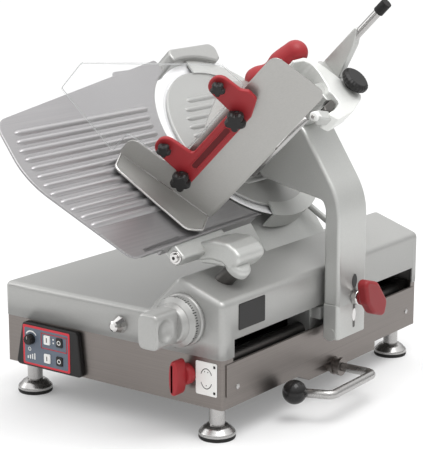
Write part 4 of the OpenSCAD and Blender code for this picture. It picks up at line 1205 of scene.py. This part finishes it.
@step
class SLICER_OT_pusher(bpy.types.Operator):
    """Red bar grip of the pusher, with a waist."""
    bl_idname = "slicer.pusher"
    bl_label = "Pusher grip"

    def execute(self, context):
        turn, dip = math.radians(20.3), math.radians(5.9)
        lengthways = np.array([math.cos(turn) * math.cos(dip), math.sin(turn) * math.cos(dip), math.sin(dip)])
        ahead = np.array([ALONG, Y, DOWN]).T @ lengthways
        side = unit(np.cross(ahead, Y))
        place = Place(FEED.at((123, -37, -31)), side, np.cross(ahead, side), ahead)
        v = np.linspace(0.04, math.pi / 2, 14)
        cap = np.column_stack([GRIP_R * np.sin(v), -GRIP_R * np.cos(v)])
        h = np.linspace(2, GRIP_LONG - 2, 30)
        waist = np.column_stack([GRIP_R - 6.5 * np.exp(-((h - 26) / 13) ** 2), h])
        profile = np.vstack([cap, waist, (cap * (1, -1))[::-1] + (0, GRIP_LONG)])
        grip = revolve(profile, 64).put(place)
        piece("pusher_handle", [(grip, "red")], "pusher", ["pusher_grip"])
        return {"FINISHED"}


@step
class SLICER_OT_lever(bpy.types.Operator):
    """Bent lift lever and its ball."""
    bl_idname = "slicer.lever"
    bl_label = "Lift lever"

    def execute(self, context):
        pivot, _ = joint("lift_lever_swing")
        z = pivot[2]
        y = pivot[1] - MIDDLE[1]
        path = np.array([(HALF_W - 36, y, z), (HALF_W + 77, y, z), (HALF_W + 83, -115, z + 2),
                         (HALF_W + 27, -140, z + 3)])
        bends = rounded(path, (0, sizes().lever_bend, sizes().lever_bend, 0), False, 14)
        rod = tube(BASE.at(bends), LEVER_R, Z, sides=32).outward()
        v = np.linspace(0.05, math.pi - 0.05, 40)
        ball = revolve(np.column_stack([BALL_R * np.sin(v), -BALL_R * np.cos(v)]), 64)
        ball.put(BASE.moved(*path[-1]))
        piece("lever_rod", [(rod, "satin")], "lift_lever", ["lift_lever"])
        piece("lever_ball", [(ball, "gloss_black")], "lift_lever", ["lift_ball"])
        return {"FINISHED"}


SLOT_FINISH = {
    "skirt_steel": "skirt", "dark_metal": "dark_steel", "cover_aluminium": "cover", "tray_steel": "tray",
    "cast_aluminium": "cast", "bright_metal": "bright", "knife_steel": "knife", "black_rubber": "rubber",
    "panel_red": "panel_red", "red_plastic": "red", "black_plastic": "black", "white_plastic": "white",
    "clear_plastic": "clear",
}
NODE_FINISH = {"slide_rods": "dark_steel", "foot_columns": "satin", "panel_screws": "satin",
               "pusher_rail": "satin"}


@step
class SLICER_OT_solids(bpy.types.Operator):
    """Finishes of the solids that stay as they are, by their slot in the record."""
    bl_idname = "slicer.solids"
    bl_label = "Solids"

    def execute(self, context):
        for part in frame["record"]["subparts"]:
            mesh = frame["nodes"][part["node"]].data
            mesh.materials.clear()
            mesh.materials.append(finish(NODE_FINISH.get(part["node"], SLOT_FINISH[part["material_slot"]])))
        return {"FINISHED"}


# Stage

# Camera: its place on the base's frame, the way it looks and its sensor's width
EYE_PLACE = (1556.7, -2140.7, 863.4)
EYE_AHEAD = (-0.5779, 0.786, -0.2195)
SENSOR = 36
# Floor in metres: half its width, points along a side and its depth under the feet
FLOOR_HALF, FLOOR_POINTS, FLOOR_DROP = 14, 9, 1e-5


def area_light(name, place, aim, size, power):
    """A square soft light that looks at a point."""
    data = bpy.data.lights.new(name, "AREA")
    data.size = size
    data.energy = power
    lamp = bpy.data.objects.new(name, data)
    lamp.location = place
    lamp.rotation_euler = (Vector(aim) - Vector(place)).to_track_quat("-Z", "Y").to_euler()
    bpy.context.scene.collection.objects.link(lamp)


@step
class SLICER_OT_stage(bpy.types.Operator):
    """Pale floor, soft lights, a surround that is lighter above, and the camera."""
    bl_idname = "slicer.stage"
    bl_label = "Stage"

    def execute(self, context):
        stage = context.scene.slicer_stage
        run = np.linspace(-FLOOR_HALF, FLOOR_HALF, FLOOR_POINTS)
        a, b = np.meshgrid(run, run, indexing="ij")
        points = np.stack([a, b, 0 * a - FLOOR_DROP], -1).reshape(-1, 3)
        quads = grid_quads(FLOOR_POINTS, FLOOR_POINTS)[:, ::-1]
        mesh = bpy.data.meshes.new("floor")
        mesh.from_pydata(points.tolist(), [], quads.tolist())
        made = Finish("floor_paper")
        fibre = made.noise((60, 60, 60), 4.0)
        made.shade(
            Base_Color=made.mix(fibre, tone(stage.floor, 0.99), tone(stage.floor, 1.01)),
            Roughness=0.85,
            Emission_Color=(1, 1, 1, 1),
            Emission_Strength=stage.glow,
        )
        mesh.materials.append(made.material)
        floor = bpy.data.objects.new("floor", mesh)
        context.scene.collection.objects.link(floor)

        world = bpy.data.worlds.new("surround")
        world.use_nodes = True
        self.rise(world.node_tree, stage)
        context.scene.world = world
        aim = (0, 0, 0.25)
        area_light("key", (0.9, -0.3, 2.7), aim, 1.6, stage.key)
        area_light("fill", (-2.4, -1.4, 1.4), aim, 1.4, stage.fill)

        eye = bpy.data.cameras.new("camera")
        eye.lens = stage.lens
        eye.sensor_width = SENSOR
        camera = bpy.data.objects.new("camera", eye)
        camera.location = BASE.at(EYE_PLACE) * MM
        camera.rotation_euler = Vector(EYE_AHEAD).to_track_quat("-Z", "Y").to_euler()
        context.scene.collection.objects.link(camera)
        context.scene.camera = camera
        context.scene.view_settings.view_transform = "Standard"
        return {"FINISHED"}

    def rise(self, tree, stage):
        """Surround that grows lighter from the horizon up: strength times (low + high times height)."""
        back = tree.nodes["Background"]
        back.inputs["Color"].default_value = (*stage.surround, 1)
        where = tree.nodes.new("ShaderNodeTexCoord")
        split = tree.nodes.new("ShaderNodeSeparateXYZ")
        grow = tree.nodes.new("ShaderNodeMath")
        grow.operation = "MULTIPLY_ADD"
        grow.use_clamp = False
        grow.inputs[1].default_value = stage.sky * stage.zenith
        grow.inputs[2].default_value = stage.sky
        tree.links.new(where.outputs["Generated"], split.inputs[0])
        tree.links.new(split.outputs["Z"], grow.inputs[0])
        tree.links.new(grow.outputs[0], back.inputs["Strength"])


class SLICER_PT_panel(bpy.types.Panel):
    """The steps and settings in the sidebar."""
    bl_label = "Food slicer"
    bl_idname = "SLICER_PT_panel"
    bl_space_type = "VIEW_3D"
    bl_region_type = "UI"
    bl_category = "Slicer"

    def draw(self, context):
        for operator in STEPS:
            self.layout.operator(operator.bl_idname)
        for group in (context.scene.slicer_colours, context.scene.slicer_sizes, context.scene.slicer_stage):
            for name in group.bl_rna.properties.keys():
                if name not in ("rna_type", "name"):
                    self.layout.prop(group, name)


GROUPS = {"slicer_colours": SlicerColours, "slicer_sizes": SlicerSizes, "slicer_stage": SlicerStage}


def register():
    for name, group in GROUPS.items():
        bpy.utils.register_class(group)
        setattr(bpy.types.Scene, name, bpy.props.PointerProperty(type=group))
    for kind in (*STEPS, SLICER_PT_panel):
        bpy.utils.register_class(kind)


def unregister():
    for kind in (SLICER_PT_panel, *reversed(STEPS)):
        bpy.utils.unregister_class(kind)
    for name, group in GROUPS.items():
        delattr(bpy.types.Scene, name)
        bpy.utils.unregister_class(group)


def main():
    """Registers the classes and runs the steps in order."""
    register()
    for operator in STEPS:
        getattr(bpy.ops.slicer, operator.bl_idname.split(".")[1])()


if __name__ == "__main__":
    main()
